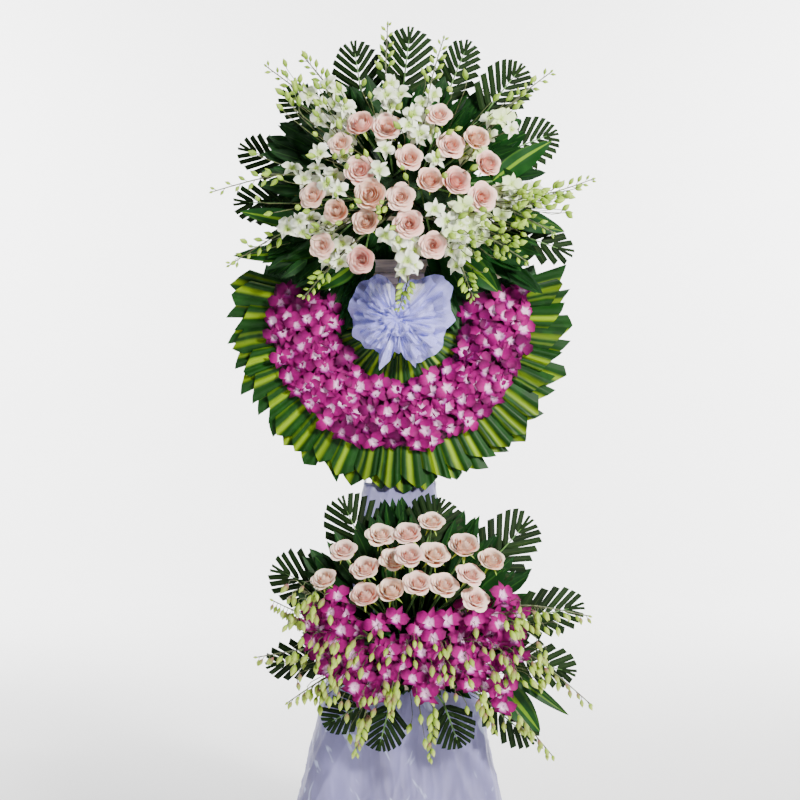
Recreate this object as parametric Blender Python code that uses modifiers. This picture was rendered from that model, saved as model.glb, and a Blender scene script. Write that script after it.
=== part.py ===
"""Funeral flower stand: a wooden easel with a leaf and orchid wreath between two flower arrangements.

Metres, +Z up. The front faces -Y, and the origin is on the floor under the middle of the stand.
"""

import math
import random

import bmesh
import bpy
from mathutils import Matrix, Vector
from mathutils.bvhtree import BVHTree

# Driving dimensions, in metres
WREATH_CENTRE_HEIGHT = 1.179
LEAF_RIM_RADIUS = 0.366
BAND_OUTER_RADIUS = 0.272
BAND_INNER_RADIUS = 0.128
INNER_LEAF_RADIUS = 0.066
INNER_LEAF_FOOT = 0.196
ROSE_RADIUS = 0.0275
BLOOM_RADIUS = 0.030
BUD_LENGTH = 0.024
BUDS_FROM = 0.60
BUDS_TO = 0.97
NECK_RADIUS = 0.0022
SPRAY_BEHIND = 0.045
STEM_RADIUS = 0.0021
BLADE = 0.0009
GAP = 0.0003

# How a place in the 800-pixel photograph becomes a place in space: a straight line from the eye,
# through the pixel's point on the plane y = 0, to the depth wanted
PIXEL = 0.0021
CENTRE_COLUMN = 402
FLOOR_ROW = 880
EYE_DISTANCE = 3.6
EYE_HEIGHT = 1.15

# The easel
APEX_HEIGHT = 0.92
APEX_DEPTH = 0.011
FOOT_DEPTH = -0.13
FOOT_SPREAD = 0.20
LEG_WIDTH = 0.024
LEG_THICKNESS = 0.020
POST_HALF_WIDTH = 0.020
POST_THICKNESS = 0.020
POST_LOW = 0.76
POST_HIGH = 1.50
REAR_TOP_HEIGHT = 0.90
REAR_FOOT_DEPTH = 0.373
RAIL_HEIGHT = 0.40
RAIL_SIZE = 0.022
SLAT_HALF_WIDTH = 0.255
SLAT_THICKNESS = 0.012
SLAT_ROWS = ((1.2515, 1.2735), (1.2750, 1.3020))

# The foam blocks that hold the stems, and the point behind each that its stems aim at
UPPER_FOAM_LOW = Vector((-0.12, -0.115, 1.385))
UPPER_FOAM_HIGH = Vector((0.12, -0.030, 1.495))
UPPER_FOCUS = Vector((0.0, -0.045, 1.440))
LOWER_FOAM_LOW = Vector((-0.095, -0.215, 0.450))
LOWER_FOAM_HIGH = Vector((0.125, -0.140, 0.550))
LOWER_FOCUS = Vector((0.015, -0.155, 0.500))
STUB_RADIUS = 0.0040
STUB_DEPTH = 0.026
STUB_REACH = 0.010
STUB_SPACING = 0.0115
SHELF_THICKNESS = 0.010
ARM_OFFSET = 0.060
ARM_SIZE = 0.014

# The skirt: height, half width and depth of its front
SKIRT_ROWS = (
    (0.012, 0.243, -0.172),
    (0.170, 0.207, -0.158),
    (0.335, 0.170, -0.142),
    (0.500, 0.134, -0.122),
    (0.660, 0.100, -0.080),
    (0.826, 0.072, -0.029),
)
SKIRT_SIDE_DEPTH = 0.20
SKIRT_CLOTH = 0.002
SKIRT_RIPPLE = 0.004
ARM_SLACK = 0.0004
NET_PLEAT = 0.012

# The wreath
BOARD_FRONT = -0.034
BOARD_THICKNESS = 0.0214
BOARD_FROM = math.radians(158)
BOARD_TO = math.radians(382)
WREATH_FROM = math.radians(162)
WREATH_TO = math.radians(378)
BAND_MARGIN = math.radians(3)
OUTER_LEAVES = 28
INNER_LEAVES = 15
INNER_FROM = math.radians(186)
INNER_TO = math.radians(354)
LEAF_PLANE = BOARD_FRONT - GAP - BLADE / 2

# Roses of the upper and lower arrangement: column and row in the photograph, and head size
UPPER_ROSES = {
    "upper_roses_left": (
        (341, 143, 0.9), (312, 196, 1.0), (337, 212, 0.9), (322, 247, 0.95), (362, 261, 1.0),
    ),
    "upper_roses_top": ((362, 123, 1.0), (388, 125, 1.1), (411, 157, 1.0), (360, 169, 1.1)),
    "upper_roses_middle": (
        (372, 195, 1.15), (367, 223, 0.95), (403, 197, 1.05), (411, 221, 1.1), (432, 180, 0.95),
    ),
    "upper_roses_right": (
        (442, 113, 0.95), (454, 144, 1.05), (480, 138, 0.95), (491, 163, 0.95), (453, 181, 1.05),
        (477, 197, 1.1), (436, 246, 1.0),
    ),
}
LOWER_ROSES = {
    "lower_roses_left": (
        (343, 549, 1.0), (323, 579, 0.95), (362, 568, 1.05), (365, 589, 1.0), (381, 533, 1.1),
        (395, 558, 1.05), (386, 591, 1.0), (410, 583, 1.05),
    ),
    "lower_roses_right": (
        (409, 538, 1.05), (431, 520, 0.95), (411, 566, 1.05), (437, 553, 1.15), (468, 545, 1.1),
        (437, 585, 1.1), (458, 574, 1.05), (480, 583, 1.05), (496, 560, 0.95),
    ),
}

# Palm fronds: the blade's base, tip and half width in pixels, and the depth of base and tip
UPPER_FRONDS = {
    "frond_top_left": (((366, 112), (355, 40), 23, -0.035, 0.000),),
    "frond_top": (((404, 100), (413, 26), 26, -0.070, -0.040),),
    "frond_top_right": (((446, 104), (472, 40), 19, -0.020, 0.015),),
    "frond_upper_right": (((484, 118), (527, 64), 24, -0.085, -0.070),),
    "frond_right": (((500, 156), (562, 132), 23, -0.045, -0.025),),
    "frond_upper_left": (((338, 128), (281, 92), 20, -0.085, -0.070),),
    "frond_left": (((312, 176), (238, 146), 20, -0.030, 0.000), ((318, 205), (231, 203), 20, -0.060, -0.050)),
    "frond_lower_right": (((492, 226), (580, 256), 17, -0.075, -0.070),),
}
LOWER_FRONDS = {
    "lower_frond_left": (
        ((350, 600), (268, 566), 24, -0.150, -0.130),
        ((340, 654), (262, 668), 16, -0.180, -0.180),
    ),
    "lower_frond_top_left": (((378, 572), (340, 492), 25, -0.170, -0.150),),
    "lower_frond_top": (((420, 566), (446, 494), 25, -0.195, -0.175),),
    "lower_frond_upper_right": (((478, 578), (537, 514), 24, -0.165, -0.145),),
    "lower_frond_right": (
        ((505, 622), (592, 605), 19, -0.165, -0.150),
        ((505, 655), (584, 676), 17, -0.190, -0.185),
    ),
    "lower_frond_bottom_left": (
        ((368, 704), (322, 730), 16, -0.215, -0.215),
        ((392, 706), (379, 757), 18, -0.225, -0.225),
    ),
    "lower_frond_bottom_right": (
        ((446, 706), (464, 754), 18, -0.225, -0.225),
        ((486, 700), (542, 748), 17, -0.200, -0.200),
    ),
}
FROND_ARCH = 0.10
FROND_DROOP = 0.315
MANY_LEAFLETS = 6
FEW_LEAFLETS = 5

# Broad striped leaves: base, tip and half width in pixels, depth of base and tip
UPPER_LEAVES = {
    "broad_leaves_left": (
        ((320, 226), (243, 212), 9, -0.105, -0.105),
        ((330, 250), (236, 256), 9, -0.110, -0.110),
    ),
    "broad_leaves_right": (
        ((494, 182), (553, 142), 10, -0.105, -0.105),
        ((500, 212), (566, 232), 10, -0.110, -0.110),
    ),
    "broad_leaves_below": (
        ((452, 250), (500, 292), 11, -0.110, -0.130),
        ((360, 262), (316, 290), 10, -0.110, -0.130),
    ),
}
LOWER_LEAVES = {
    "lower_broad_leaves": (
        ((500, 682), (543, 735), 12, -0.240, -0.240),
        ((496, 662), (572, 718), 6, -0.260, -0.270),
    ),
}

# Orchid sprays: root, middle and tip of each stem in the photograph, how many open blooms and how
# many pairs of buds it bears, and the depth of its tip
UPPER_SPRAYS = {
    "white_sprays_upper_left": (
        (((352, 156), (322, 112), (265, 66)), 5, 2, -0.150),
        (((356, 136), (338, 100), (303, 56)), 3, 2, -0.145),
    ),
    "white_sprays_top": (
        (((392, 140), (388, 90), (390, 22)), 4, 3, -0.160),
        (((425, 141), (429, 100), (447, 36)), 3, 2, -0.162),
    ),
    "white_sprays_right": (
        (((470, 160), (500, 118), (556, 71)), 3, 2, -0.150),
        (((500, 196), (540, 196), (598, 178)), 2, 3, -0.160),
    ),
    "white_sprays_left": (
        (((340, 188), (300, 174), (208, 195)), 4, 3, -0.165),
        (((335, 232), (298, 228), (226, 270)), 4, 2, -0.165),
    ),
    "white_sprays_hanging": (
        (((352, 246), (336, 262), (304, 300)), 3, 2, -0.200),
        (((408, 240), (411, 270), (400, 312)), 3, 2, -0.250),
        (((452, 226), (462, 262), (476, 300)), 3, 2, -0.200),
    ),
    "white_sprays_lower_right": (
        (((468, 214), (500, 208), (560, 236)), 3, 2, -0.190),
        (((455, 214), (482, 232), (532, 264)), 2, 2, -0.195),
    ),
}
LOWER_SPRAYS = {
    "purple_sprays_left": (
        (((352, 640), (320, 648), (252, 660)), 3, 3, -0.270),
        (((348, 622), (318, 620), (270, 600)), 3, 2, -0.250),
    ),
    "purple_sprays_lower_left": (
        (((368, 660), (336, 674), (285, 708)), 3, 2, -0.290),
        (((385, 668), (372, 700), (356, 760)), 3, 2, -0.300),
    ),
    "purple_sprays_middle": (
        (((402, 640), (396, 672), (392, 722)), 4, 2, -0.320),
        (((430, 636), (436, 690), (431, 768)), 5, 3, -0.320),
    ),
    "purple_sprays_lower_right": (
        (((456, 640), (476, 680), (500, 738)), 4, 2, -0.310),
        (((470, 650), (508, 700), (560, 764)), 3, 2, -0.300),
    ),
    "purple_sprays_right": (
        (((470, 632), (520, 648), (600, 712)), 4, 3, -0.290),
        (((466, 620), (516, 606), (598, 618)), 4, 2, -0.260),
    ),
}

# Colours, roughness
WOOD = ("weathered_wood", (0.30, 0.27, 0.23), 0.8)
FOAM = ("floral_foam", (0.05, 0.16, 0.06), 0.9)
CLOTH = ("skirt_cloth", (0.72, 0.72, 0.85), 0.6)
NET = ("bow_net", (0.75, 0.75, 0.92), 0.5)
FROND = ("palm_green", (0.03, 0.13, 0.03), 0.5)
LEAF = ("striped_leaf_green", (0.07, 0.22, 0.03), 0.4)
ROSE = ("pale_pink_petal", (0.90, 0.62, 0.56), 0.6)
WHITE = ("white_orchid_petal", (0.86, 0.92, 0.78), 0.5)
PURPLE = ("purple_orchid_petal", (0.45, 0.02, 0.30), 0.5)

FRONT = Vector((0, -1, 0))
UP = Vector((0, 0, 1))


def empty_scene():
    for old in list(bpy.data.objects):
        bpy.data.objects.remove(old)


def new_collection(name, hidden=False):
    collection = bpy.data.collections.new(name)
    bpy.context.scene.collection.children.link(collection)
    collection.hide_render = hidden
    return collection


empty_scene()
STAND = new_collection("funeral_flower_stand")
SCRAPS = new_collection("scraps", hidden=True)


def material(finish):
    name, colour, roughness = finish
    found = bpy.data.materials.get(name)
    if found:
        return found
    made = bpy.data.materials.new(name)
    made.use_nodes = True
    shader = made.node_tree.nodes["Principled BSDF"]
    shader.inputs["Base Color"].default_value = (*colour, 1)
    shader.inputs["Roughness"].default_value = roughness
    shader.inputs["Metallic"].default_value = 0
    return made


def seen(column, row, depth):
    """The point at this depth that the photograph shows at this column and row."""
    x = (column - CENTRE_COLUMN) * PIXEL
    z = (FLOOR_ROW - row) * PIXEL
    along = (depth + EYE_DISTANCE) / EYE_DISTANCE
    return Vector((x * along, depth, EYE_HEIGHT + (z - EYE_HEIGHT) * along))


def object_from(bm):
    """A scrap: a piece that is later joined into a node, or cut from one."""
    mesh = bpy.data.meshes.new("scrap")
    bm.to_mesh(mesh)
    bm.free()
    made = bpy.data.objects.new("scrap", mesh)
    SCRAPS.objects.link(made)
    return made


def evaluated_mesh(piece):
    bpy.context.view_layer.update()
    graph = bpy.context.evaluated_depsgraph_get()
    return bpy.data.meshes.new_from_object(piece.evaluated_get(graph))


def remove(piece):
    bpy.data.objects.remove(piece)


def named(piece, name, finish, smooth=False):
    """Makes a scrap the node of this name, with its modifiers applied and its finish on it."""
    mesh = evaluated_mesh(piece)
    mesh.transform(piece.matrix_world)
    node = bpy.data.objects.new(name, mesh)
    mesh.name = name
    STAND.objects.link(node)
    mesh.materials.clear()
    mesh.materials.append(material(finish))
    if smooth:
        mesh.shade_smooth()
        mesh.set_sharp_from_angle(angle=math.radians(40))
    remove(piece)
    return node


def block(low, high):
    low = Vector(low)
    high = Vector(high)
    bm = bmesh.new()
    bmesh.ops.create_cube(bm, size=1)
    size = high - low
    bmesh.ops.scale(bm, vec=size, verts=bm.verts)
    bmesh.ops.translate(bm, vec=(low + high) / 2, verts=bm.verts)
    return object_from(bm)


def leaning_bar(foot, top, width, thickness):
    """A bar whose two ends are level, with its foot and top at these points."""
    bm = bmesh.new()
    bmesh.ops.create_cube(bm, size=1)
    for vert in bm.verts:
        centre = Vector(top) if vert.co.z > 0 else Vector(foot)
        across = math.copysign(width / 2, vert.co.x)
        vert.co = centre + Vector((across, math.copysign(thickness / 2, vert.co.y), 0))
    return object_from(bm)


def rod_mesh(points, radius, tip_radius=None, sides=4):
    """A closed rod along these points, flat towards the back, with a thinner tip if a tip radius is given."""
    bm = bmesh.new()
    rings = []
    last = len(points) - 1
    for count, point in enumerate(points):
        before = points[max(0, count - 1)]
        after = points[min(last, count + 1)]
        along = (after - before).normalized()
        front = FRONT - along * FRONT.dot(along)
        if front.length < 0.2:
            front = UP - along * UP.dot(along)
        front.normalize()
        across = along.cross(front)
        thick = radius if tip_radius is None else radius + (tip_radius - radius) * count / last
        ring = []
        for side in range(sides):
            angle = 2 * math.pi * side / sides
            ring.append(bm.verts.new(point + (front * math.cos(angle) + across * math.sin(angle)) * thick))
        rings.append(ring)
    for near, far in zip(rings, rings[1:]):
        for side in range(sides):
            after = (side + 1) % sides
            bm.faces.new((near[side], near[after], far[after], far[side]))
    bm.faces.new(rings[0])
    bm.faces.new(rings[-1])
    bmesh.ops.recalc_face_normals(bm, faces=bm.faces)
    return bm


def rod(points, radius, tip_radius=None):
    bm = rod_mesh(points, radius, tip_radius)
    bmesh.ops.triangulate(bm, faces=bm.faces)
    return object_from(bm)


def rejoin_flats(node):
    """Joins again what a union or a cut split in one plane."""
    bm = bmesh.new()
    bm.from_mesh(node.data)
    bmesh.ops.dissolve_limit(bm, angle_limit=math.radians(0.25), verts=bm.verts, edges=bm.edges)
    bmesh.ops.triangulate(bm, faces=bm.faces)
    if all(edge.is_manifold for edge in bm.edges):
        bm.to_mesh(node.data)
    bm.free()


def fuse(name, pieces, finish, smooth=False):
    """One body out of overlapping pieces, as the node of this name."""
    base = pieces[0]
    if len(pieces) > 1:
        joined = bpy.data.collections.new("joined")
        for piece in pieces[1:]:
            joined.objects.link(piece)
        union = base.modifiers.new("union", "BOOLEAN")
        union.operation = "UNION"
        union.operand_type = "COLLECTION"
        union.collection = joined
        union.solver = "MANIFOLD"
    node = named(base, name, finish, smooth)
    for piece in pieces[1:]:
        remove(piece)
    rejoin_flats(node)
    return node


def cut(piece, cutters):
    """Takes each cutter out of a scrap."""
    for cutter in cutters:
        boolean = piece.modifiers.new("cut", "BOOLEAN")
        boolean.operation = "DIFFERENCE"
        boolean.object = cutter
        boolean.solver = "MANIFOLD"


def tree_of(piece, clearance=0.0008):
    verts = [piece.matrix_world @ vert.co for vert in piece.data.vertices]
    faces = [tuple(face.vertices) for face in piece.data.polygons]
    return BVHTree.FromPolygons(verts, faces, epsilon=clearance)


OBSTACLES = []


def is_clear(piece, beside=()):
    tree = tree_of(piece)
    return not any(tree.overlap(other) for other in (*OBSTACLES, *beside))


def stand_in_the_way(*nodes):
    for node in nodes:
        OBSTACLES.append(tree_of(node))


def aimed(direction, roll=0.0):
    """The turn that brings +Z onto this direction."""
    return direction.to_track_quat("Z", "Y").to_matrix().to_4x4() @ Matrix.Rotation(roll, 4, "Z")


# Flowers

def rose(way, radius, direction):
    """A rose on its stem: two rings of lobed petals round a dimpled heart, narrowing to the stem below."""
    steps = 8
    rings = ((0.90, -0.10, 0.04, 0), (1.0, 0.28, 0.12, 0), (0.70, 0.16, 0, 1), (0.62, 0.52, 0.12, 1))
    turn = aimed(direction)
    top = way[-1] + direction * radius * 0.72
    bm = bmesh.new()
    made = []
    for out, up, lobe, shift in rings:
        ring = []
        for step in range(steps):
            wave = 1 if (step + shift) % 2 else -1
            angle = 2 * math.pi * step / steps
            reach = radius * (out + lobe * wave)
            lift = radius * (up + 0.5 * lobe * wave)
            local = Vector((reach * math.cos(angle), reach * math.sin(angle), lift))
            ring.append(bm.verts.new(top + turn @ local))
        made.append(ring)
    heart = bm.verts.new(top + turn @ Vector((0, 0, radius * 0.34)))
    for step in range(steps):
        after = (step + 1) % steps
        for lower, upper in zip(made, made[1:]):
            bm.faces.new((lower[step], lower[after], upper[after], upper[step]))
        bm.faces.new((made[-1][step], made[-1][after], heart))
    sides = steps // 2
    below = []
    for count, point in enumerate(reversed(way)):
        along = direction if count == 0 else (way[-count] - way[-count - 1]).normalized()
        frame = turn if count == 0 else aimed(along)
        ring = []
        for side in range(sides):
            angle = 4 * math.pi * side / steps
            around_stem = Vector((math.cos(angle), math.sin(angle), 0)) * STEM_RADIUS
            if count:
                nearest = below[-1][side].co - way[-count]
                flat = nearest - along * nearest.dot(along)
                ring.append(bm.verts.new(point + flat.normalized() * STEM_RADIUS))
            else:
                ring.append(bm.verts.new(point + frame @ around_stem))
        below.append(ring)
    for side in range(sides):
        after = (side + 1) % sides
        bm.faces.new((below[0][side], made[0][2 * side + 1], made[0][2 * side]))
        bm.faces.new((below[0][side], below[0][after], made[0][2 * side + 1]))
        bm.faces.new((below[0][after], made[0][(2 * side + 2) % steps], made[0][2 * side + 1]))
        for upper, lower in zip(below, below[1:]):
            bm.faces.new((lower[side], lower[after], upper[after], upper[side]))
    bm.faces.new(below[-1])
    bmesh.ops.triangulate(bm, faces=bm.faces)
    bmesh.ops.recalc_face_normals(bm, faces=bm.faces)
    return object_from(bm)


def orchid_bloom(centre, radius, direction, roll, neck=0.42):
    """A five-pointed bloom, raised in its middle, on a three-cornered neck."""
    place = Matrix.Translation(centre) @ aimed(direction, roll)
    bm = bmesh.new()
    petals = 5
    rim = []
    for step in range(2 * petals):
        tip = step % 2 == 0
        angle = math.pi * step / petals
        out = radius * (1 if tip else 0.46)
        lift = radius * (0.20 if tip else 0.02)
        rim.append(bm.verts.new(place @ Vector((out * math.cos(angle), out * math.sin(angle), lift))))
    lip = bm.verts.new(place @ Vector((0, 0, radius * 0.16)))
    corners = []
    for corner in range(3):
        angle = 2 * math.pi * corner / 3
        corner = Vector((NECK_RADIUS * math.cos(angle), NECK_RADIUS * math.sin(angle), -radius * neck))
        corners.append(bm.verts.new(place @ corner))
    for step in range(2 * petals):
        after = (step + 1) % (2 * petals)
        bm.faces.new((rim[step], rim[after], lip))
        near = round(step * 3 / (2 * petals)) % 3
        far = round(after * 3 / (2 * petals) + (3 if after == 0 else 0)) % 3
        bm.faces.new((rim[after], rim[step], corners[near]))
        if far != near:
            bm.faces.new((rim[after], corners[near], corners[far]))
    bm.faces.new(corners[::-1])
    bmesh.ops.recalc_face_normals(bm, faces=bm.faces)
    return object_from(bm)


def grow_bud(bm, face, direction, length):
    """Draws a side face of a stem out into a pointed bud, widest a third of the way along."""
    foot = face.calc_center_median()
    drawn = bmesh.ops.extrude_discrete_faces(bm, faces=[face])["faces"][0]
    for vert in drawn.verts:
        offset = vert.co - foot
        offset -= direction * offset.dot(direction)
        vert.co = foot + direction * length * 0.52 + offset.normalized() * length * 0.23
    point = bmesh.ops.poke(bm, faces=[drawn])["verts"][0]
    point.co = foot + direction * length


def budded_stem(way, stations, first_bud, length):
    """A stem whose last segments each bear a pair of buds, and a bud at the tip."""
    points = (*way, *stations)
    bm = rod_mesh(points, STEM_RADIUS, STEM_RADIUS * 0.7, sides=3)
    bare = len(way) + first_bud
    chosen = []
    for count in range(bare, len(points)):
        middle = (points[count - 1] + points[count]) / 2
        ahead = (points[count] - points[count - 1]).normalized()
        side = ahead.cross(FRONT).normalized()
        long_faces = [face for face in bm.faces if abs(face.normal.dot(ahead)) < 0.5]
        near = sorted(long_faces, key=lambda face: (face.calc_center_median() - middle).length)[:3]
        size = length * (1.15 - 0.5 * (count - bare) / max(1, len(points) - bare))
        for sign in (-1, 1):
            face = max(near, key=lambda face: face.normal.dot(side * sign + FRONT * 0.4))
            direction = (side * sign * 0.9 + ahead * 0.8 + FRONT * 0.35).normalized()
            chosen.append((face, direction, size))
    ahead = (points[-1] - points[-2]).normalized()
    tip = max(bm.faces, key=lambda face: face.normal.dot(ahead) + face.calc_center_median().dot(ahead))
    chosen.append((tip, ahead, length * 0.7))
    for face, direction, size in chosen:
        grow_bud(bm, face, direction, size)
    bmesh.ops.triangulate(bm, faces=bm.faces)
    return object_from(bm)


# Leaves

def sheet_to_blade(bm):
    """A thin closed blade out of a sheet of triangles."""
    bmesh.ops.triangulate(bm, faces=bm.faces)
    bmesh.ops.recalc_face_normals(bm, faces=bm.faces)
    blade = object_from(bm)
    wall = blade.modifiers.new("thickness", "SOLIDIFY")
    wall.thickness = BLADE
    wall.offset = 0
    mesh = evaluated_mesh(blade)
    remove(blade)
    solid = bpy.data.objects.new("scrap", mesh)
    SCRAPS.objects.link(solid)
    return solid


def frond_blade(stalk, tip, half_width):
    """A trimmed palm frond: one arched blade, cut to the rib into slanting leaflets, on its flat stalk."""
    base = stalk[-1]
    leaflets = MANY_LEAFLETS if half_width > 0.038 else FEW_LEAFLETS
    along = tip - base
    length = along.length
    along.normalize()
    side = along.cross(FRONT).normalized()
    face = side.cross(along).normalized()

    def place(forward, across):
        lift = FROND_ARCH * length * math.sin(math.pi * min(1, forward / length))
        lift -= FROND_DROOP * across * across / half_width
        return base + along * forward + side * across + face * lift

    bm = bmesh.new()
    spine = length * 0.74
    rib = 0.0026
    edges = []
    for sign in (-1, 1):
        stops = [spine * count / leaflets for count in range(leaflets + 1)]
        edges.append([bm.verts.new(place(stop, sign * rib)) for stop in stops])
    left, right = edges
    for count in range(leaflets):
        bm.faces.new((left[count], left[count + 1], right[count + 1], right[count]))
    pitch = spine / leaflets
    for edge, sign in ((left, -1), (right, 1)):
        for count in range(leaflets):
            share = (count + 0.5) / leaflets
            reach = half_width * math.sqrt(max(0.05, 1 - (1.35 * share - 0.42) ** 2))
            slant = math.radians(52 - 26 * share)
            forward = spine * share + reach / math.tan(slant) * 0.62
            first = bm.verts.new(place(forward - 0.20 * pitch, sign * reach))
            last = bm.verts.new(place(forward + 0.28 * pitch, sign * reach * 0.93))
            bm.faces.new((edge[count], edge[count + 1], last, first))
    flat_stalk(bm, stalk, side, rib, left[0], right[0])
    return sheet_to_blade(bm)


def flat_stalk(bm, stalk, side, half_width, left, right):
    """A strip along the stalk's points that ends at these two corners of a blade."""
    for point in reversed(stalk[:-1]):
        near_left = bm.verts.new(point - side * half_width)
        near_right = bm.verts.new(point + side * half_width)
        bm.faces.new((near_left, left, right, near_right))
        left = near_left
        right = near_right


def broad_blade(stalk, tip, half_width, stations=4):
    """A broad leaf, folded along its rib and pointed at its tip, on its flat stalk."""
    base = stalk[-1]
    along = tip - base
    length = along.length
    along.normalize()
    side = along.cross(FRONT).normalized()
    face = side.cross(along).normalized()
    bm = bmesh.new()
    rows = [[bm.verts.new(point + side * across) for across in (-0.003, 0, 0.003)] for point in stalk[:-1]]
    for count in range(stations + 1):
        share = count / stations
        wide = max(0.0030 if count == 0 else 0.0015, half_width * math.sin(math.pi * share ** 0.8) * 1.1)
        middle = base + along * length * share + face * (0.12 * length * math.sin(math.pi * share))
        edge_lift = face * (0.30 * wide)
        row = (middle - side * wide + edge_lift, middle, middle + side * wide + edge_lift)
        rows.append([bm.verts.new(point) for point in row])
    for lower, upper in zip(rows, rows[1:]):
        bm.faces.new((lower[0], lower[1], upper[1], upper[0]))
        bm.faces.new((lower[1], lower[2], upper[2], upper[1]))
    return sheet_to_blade(bm)


# Stems

def face_exit(low, high, focus, direction):
    """How far from the focus a ray leaves the foam block."""
    reach = 1e9
    for axis in range(3):
        if abs(direction[axis]) > 1e-6:
            wall = high[axis] if direction[axis] > 0 else low[axis]
            reach = min(reach, (wall - focus[axis]) / direction[axis])
    return reach


class Fork:
    """Where the stems of a bunch part: each starts on its own side of the stub's end."""

    def __init__(self, place, axis):
        self.place = place
        self.axis = axis

    def start(self, end):
        away = end - self.place
        sideways = away - self.axis * away.dot(self.axis)
        if sideways.length < 1e-4:
            return self.place
        return self.place + sideways.normalized() * (STUB_RADIUS - STEM_RADIUS) * 0.8


class Holder:
    """A foam block with a hole for each bunch."""

    def __init__(self, name, low, high, focus):
        self.name = name
        self.low = low
        self.high = high
        self.focus = focus
        self.holes = []
        foam = block(low, high)
        stand_in_the_way(foam)
        remove(foam)

    def leaning(self, aim, lean):
        """The aim, or a direction beside it: each ring of eight leans a little further."""
        if lean == 0:
            return aim
        ring, place = divmod(lean - 1, 8)
        across = aim.orthogonal().normalized()
        other = aim.cross(across)
        turn = math.pi / 4 * place + 0.3 * ring
        return (aim + (across * math.cos(turn) + other * math.sin(turn)) * 0.12 * (ring + 1)).normalized()

    def stub(self, target):
        """The foot of a bunch in its hole, and the point just outside where its stems part."""
        aim = (target - self.focus).normalized()
        for lean in range(60):
            direction = self.leaning(aim, lean)
            leaves_at = face_exit(self.low, self.high, self.focus, direction)
            inner = self.focus + direction * (leaves_at - STUB_DEPTH)
            outer = self.focus + direction * (leaves_at + STUB_REACH)
            exit_place = self.focus + direction * leaves_at
            if exit_place.z < self.low.z + 0.008 or exit_place.y > self.high.y - 0.007:
                continue
            if all((inner - hole[0]).length > STUB_SPACING and (outer - hole[1]).length > STUB_SPACING + 0.003
                   for hole in self.holes):
                break
        else:
            print("no room for a stub in", self.name)
        self.holes.append((inner, outer, direction))
        return rod((inner, outer), STUB_RADIUS), Fork(outer - direction * 0.003, direction)

    def build(self):
        foam = block(self.low, self.high)
        cutters = [rod((inner - direction * 0.001, outer + direction * 0.02), STUB_RADIUS + 0.0006)
                   for inner, outer, direction in self.holes]
        cut(foam, cutters)
        node = named(foam, self.name, FOAM)
        for cutter in cutters:
            remove(cutter)
        rejoin_flats(node)
        return node


def mean(points):
    return sum(points, Vector()) / len(points)


def clear_way(start, end, radius):
    """The points of a stem from start to end, bowed just enough to clear what is in its way, or None."""
    along = end - start
    across = along.orthogonal().normalized()
    other = along.normalized().cross(across)
    for bow in (0, 0.008, 0.014, 0.020, 0.028, 0.036, 0.046):
        for share in (0.5, 0.3, 0.7):
            for turn in range(8 if bow else 1):
                angle = 2 * math.pi * turn / 8
                middle = start + along * share + (across * math.cos(angle) + other * math.sin(angle)) * bow
                points = (start, middle, end) if bow else (start, end)
                stem = rod(points, radius)
                free = is_clear(stem)
                remove(stem)
                if free:
                    return points
    return None


def least_shifts(step, sizes):
    """No shift, then ever longer ones forward, sideways, up, down and back."""
    sideways = (Vector((1, 0, 0)), Vector((-1, 0, 0)), Vector((0, 0, 1)), Vector((0, 0, -1)))
    yield Vector()
    for size in range(1, sizes + 1):
        for way in (FRONT, *sideways, *((side + FRONT).normalized() for side in sideways), -FRONT):
            yield way * step * size


def dome_depth(place, middle, half_width, half_height, rim, rise):
    """How far forward the flowers stand here: a dome that is deepest in its middle."""
    spread = ((place[0] - middle[0]) / half_width) ** 2 + ((place[1] - middle[1]) / half_height) ** 2
    return rim - rise * math.sqrt(max(0, 1 - spread))


def upper_depth(column, row):
    return dome_depth((column, row), (402, 190), 200, 150, -0.130, 0.150)


def lower_depth(column, row):
    return dome_depth((column, row), (415, 620), 190, 130, -0.215, 0.115)


def rose_in_bunch(place, radius, fork, focus, heads):
    """A rose at this place, or at the nearest one where both its head and its stem are clear."""
    direction = ((place - focus).normalized() + FRONT * 1.2 + Vector((0, 0, 0.25))).normalized()
    below = -direction * radius * 0.72
    for shift in least_shifts(0.006, 8):
        neck = place + shift + below
        head = rose((neck + below * 0.3, neck), radius, direction)
        free = is_clear(head, heads)
        tree = tree_of(head)
        remove(head)
        way = clear_way(fork.start(neck), neck, STEM_RADIUS) if free else None
        if way:
            heads.append(tree)
            return rose(way, radius, direction)
    return None


def rose_bunch(name, roses, holder, depth_at):
    places = [seen(column, row, depth_at(column, row)) for column, row, size in roses]
    foot, fork = holder.stub(mean(places))
    pieces = [foot]
    heads = []
    for (column, row, size), place in zip(roses, places):
        flower = rose_in_bunch(place, ROSE_RADIUS * size, fork, holder.focus, heads)
        if flower:
            pieces.append(flower)
        else:
            print("no clear place for a rose of", name, column, row)
    node = fuse(name, pieces, ROSE)
    stand_in_the_way(node)
    return node


def along_path(points, share):
    """A point on the smooth bend through three points."""
    start, middle, end = points
    control = middle * 2 - (start + end) / 2
    return start * (1 - share) ** 2 + control * 2 * share * (1 - share) + end * share ** 2


def between(stations, share):
    """The point this share of the way along evenly numbered stations."""
    whole = min(int(share * (len(stations) - 1)), len(stations) - 2)
    return stations[whole].lerp(stations[whole + 1], share * (len(stations) - 1) - whole)


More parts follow.
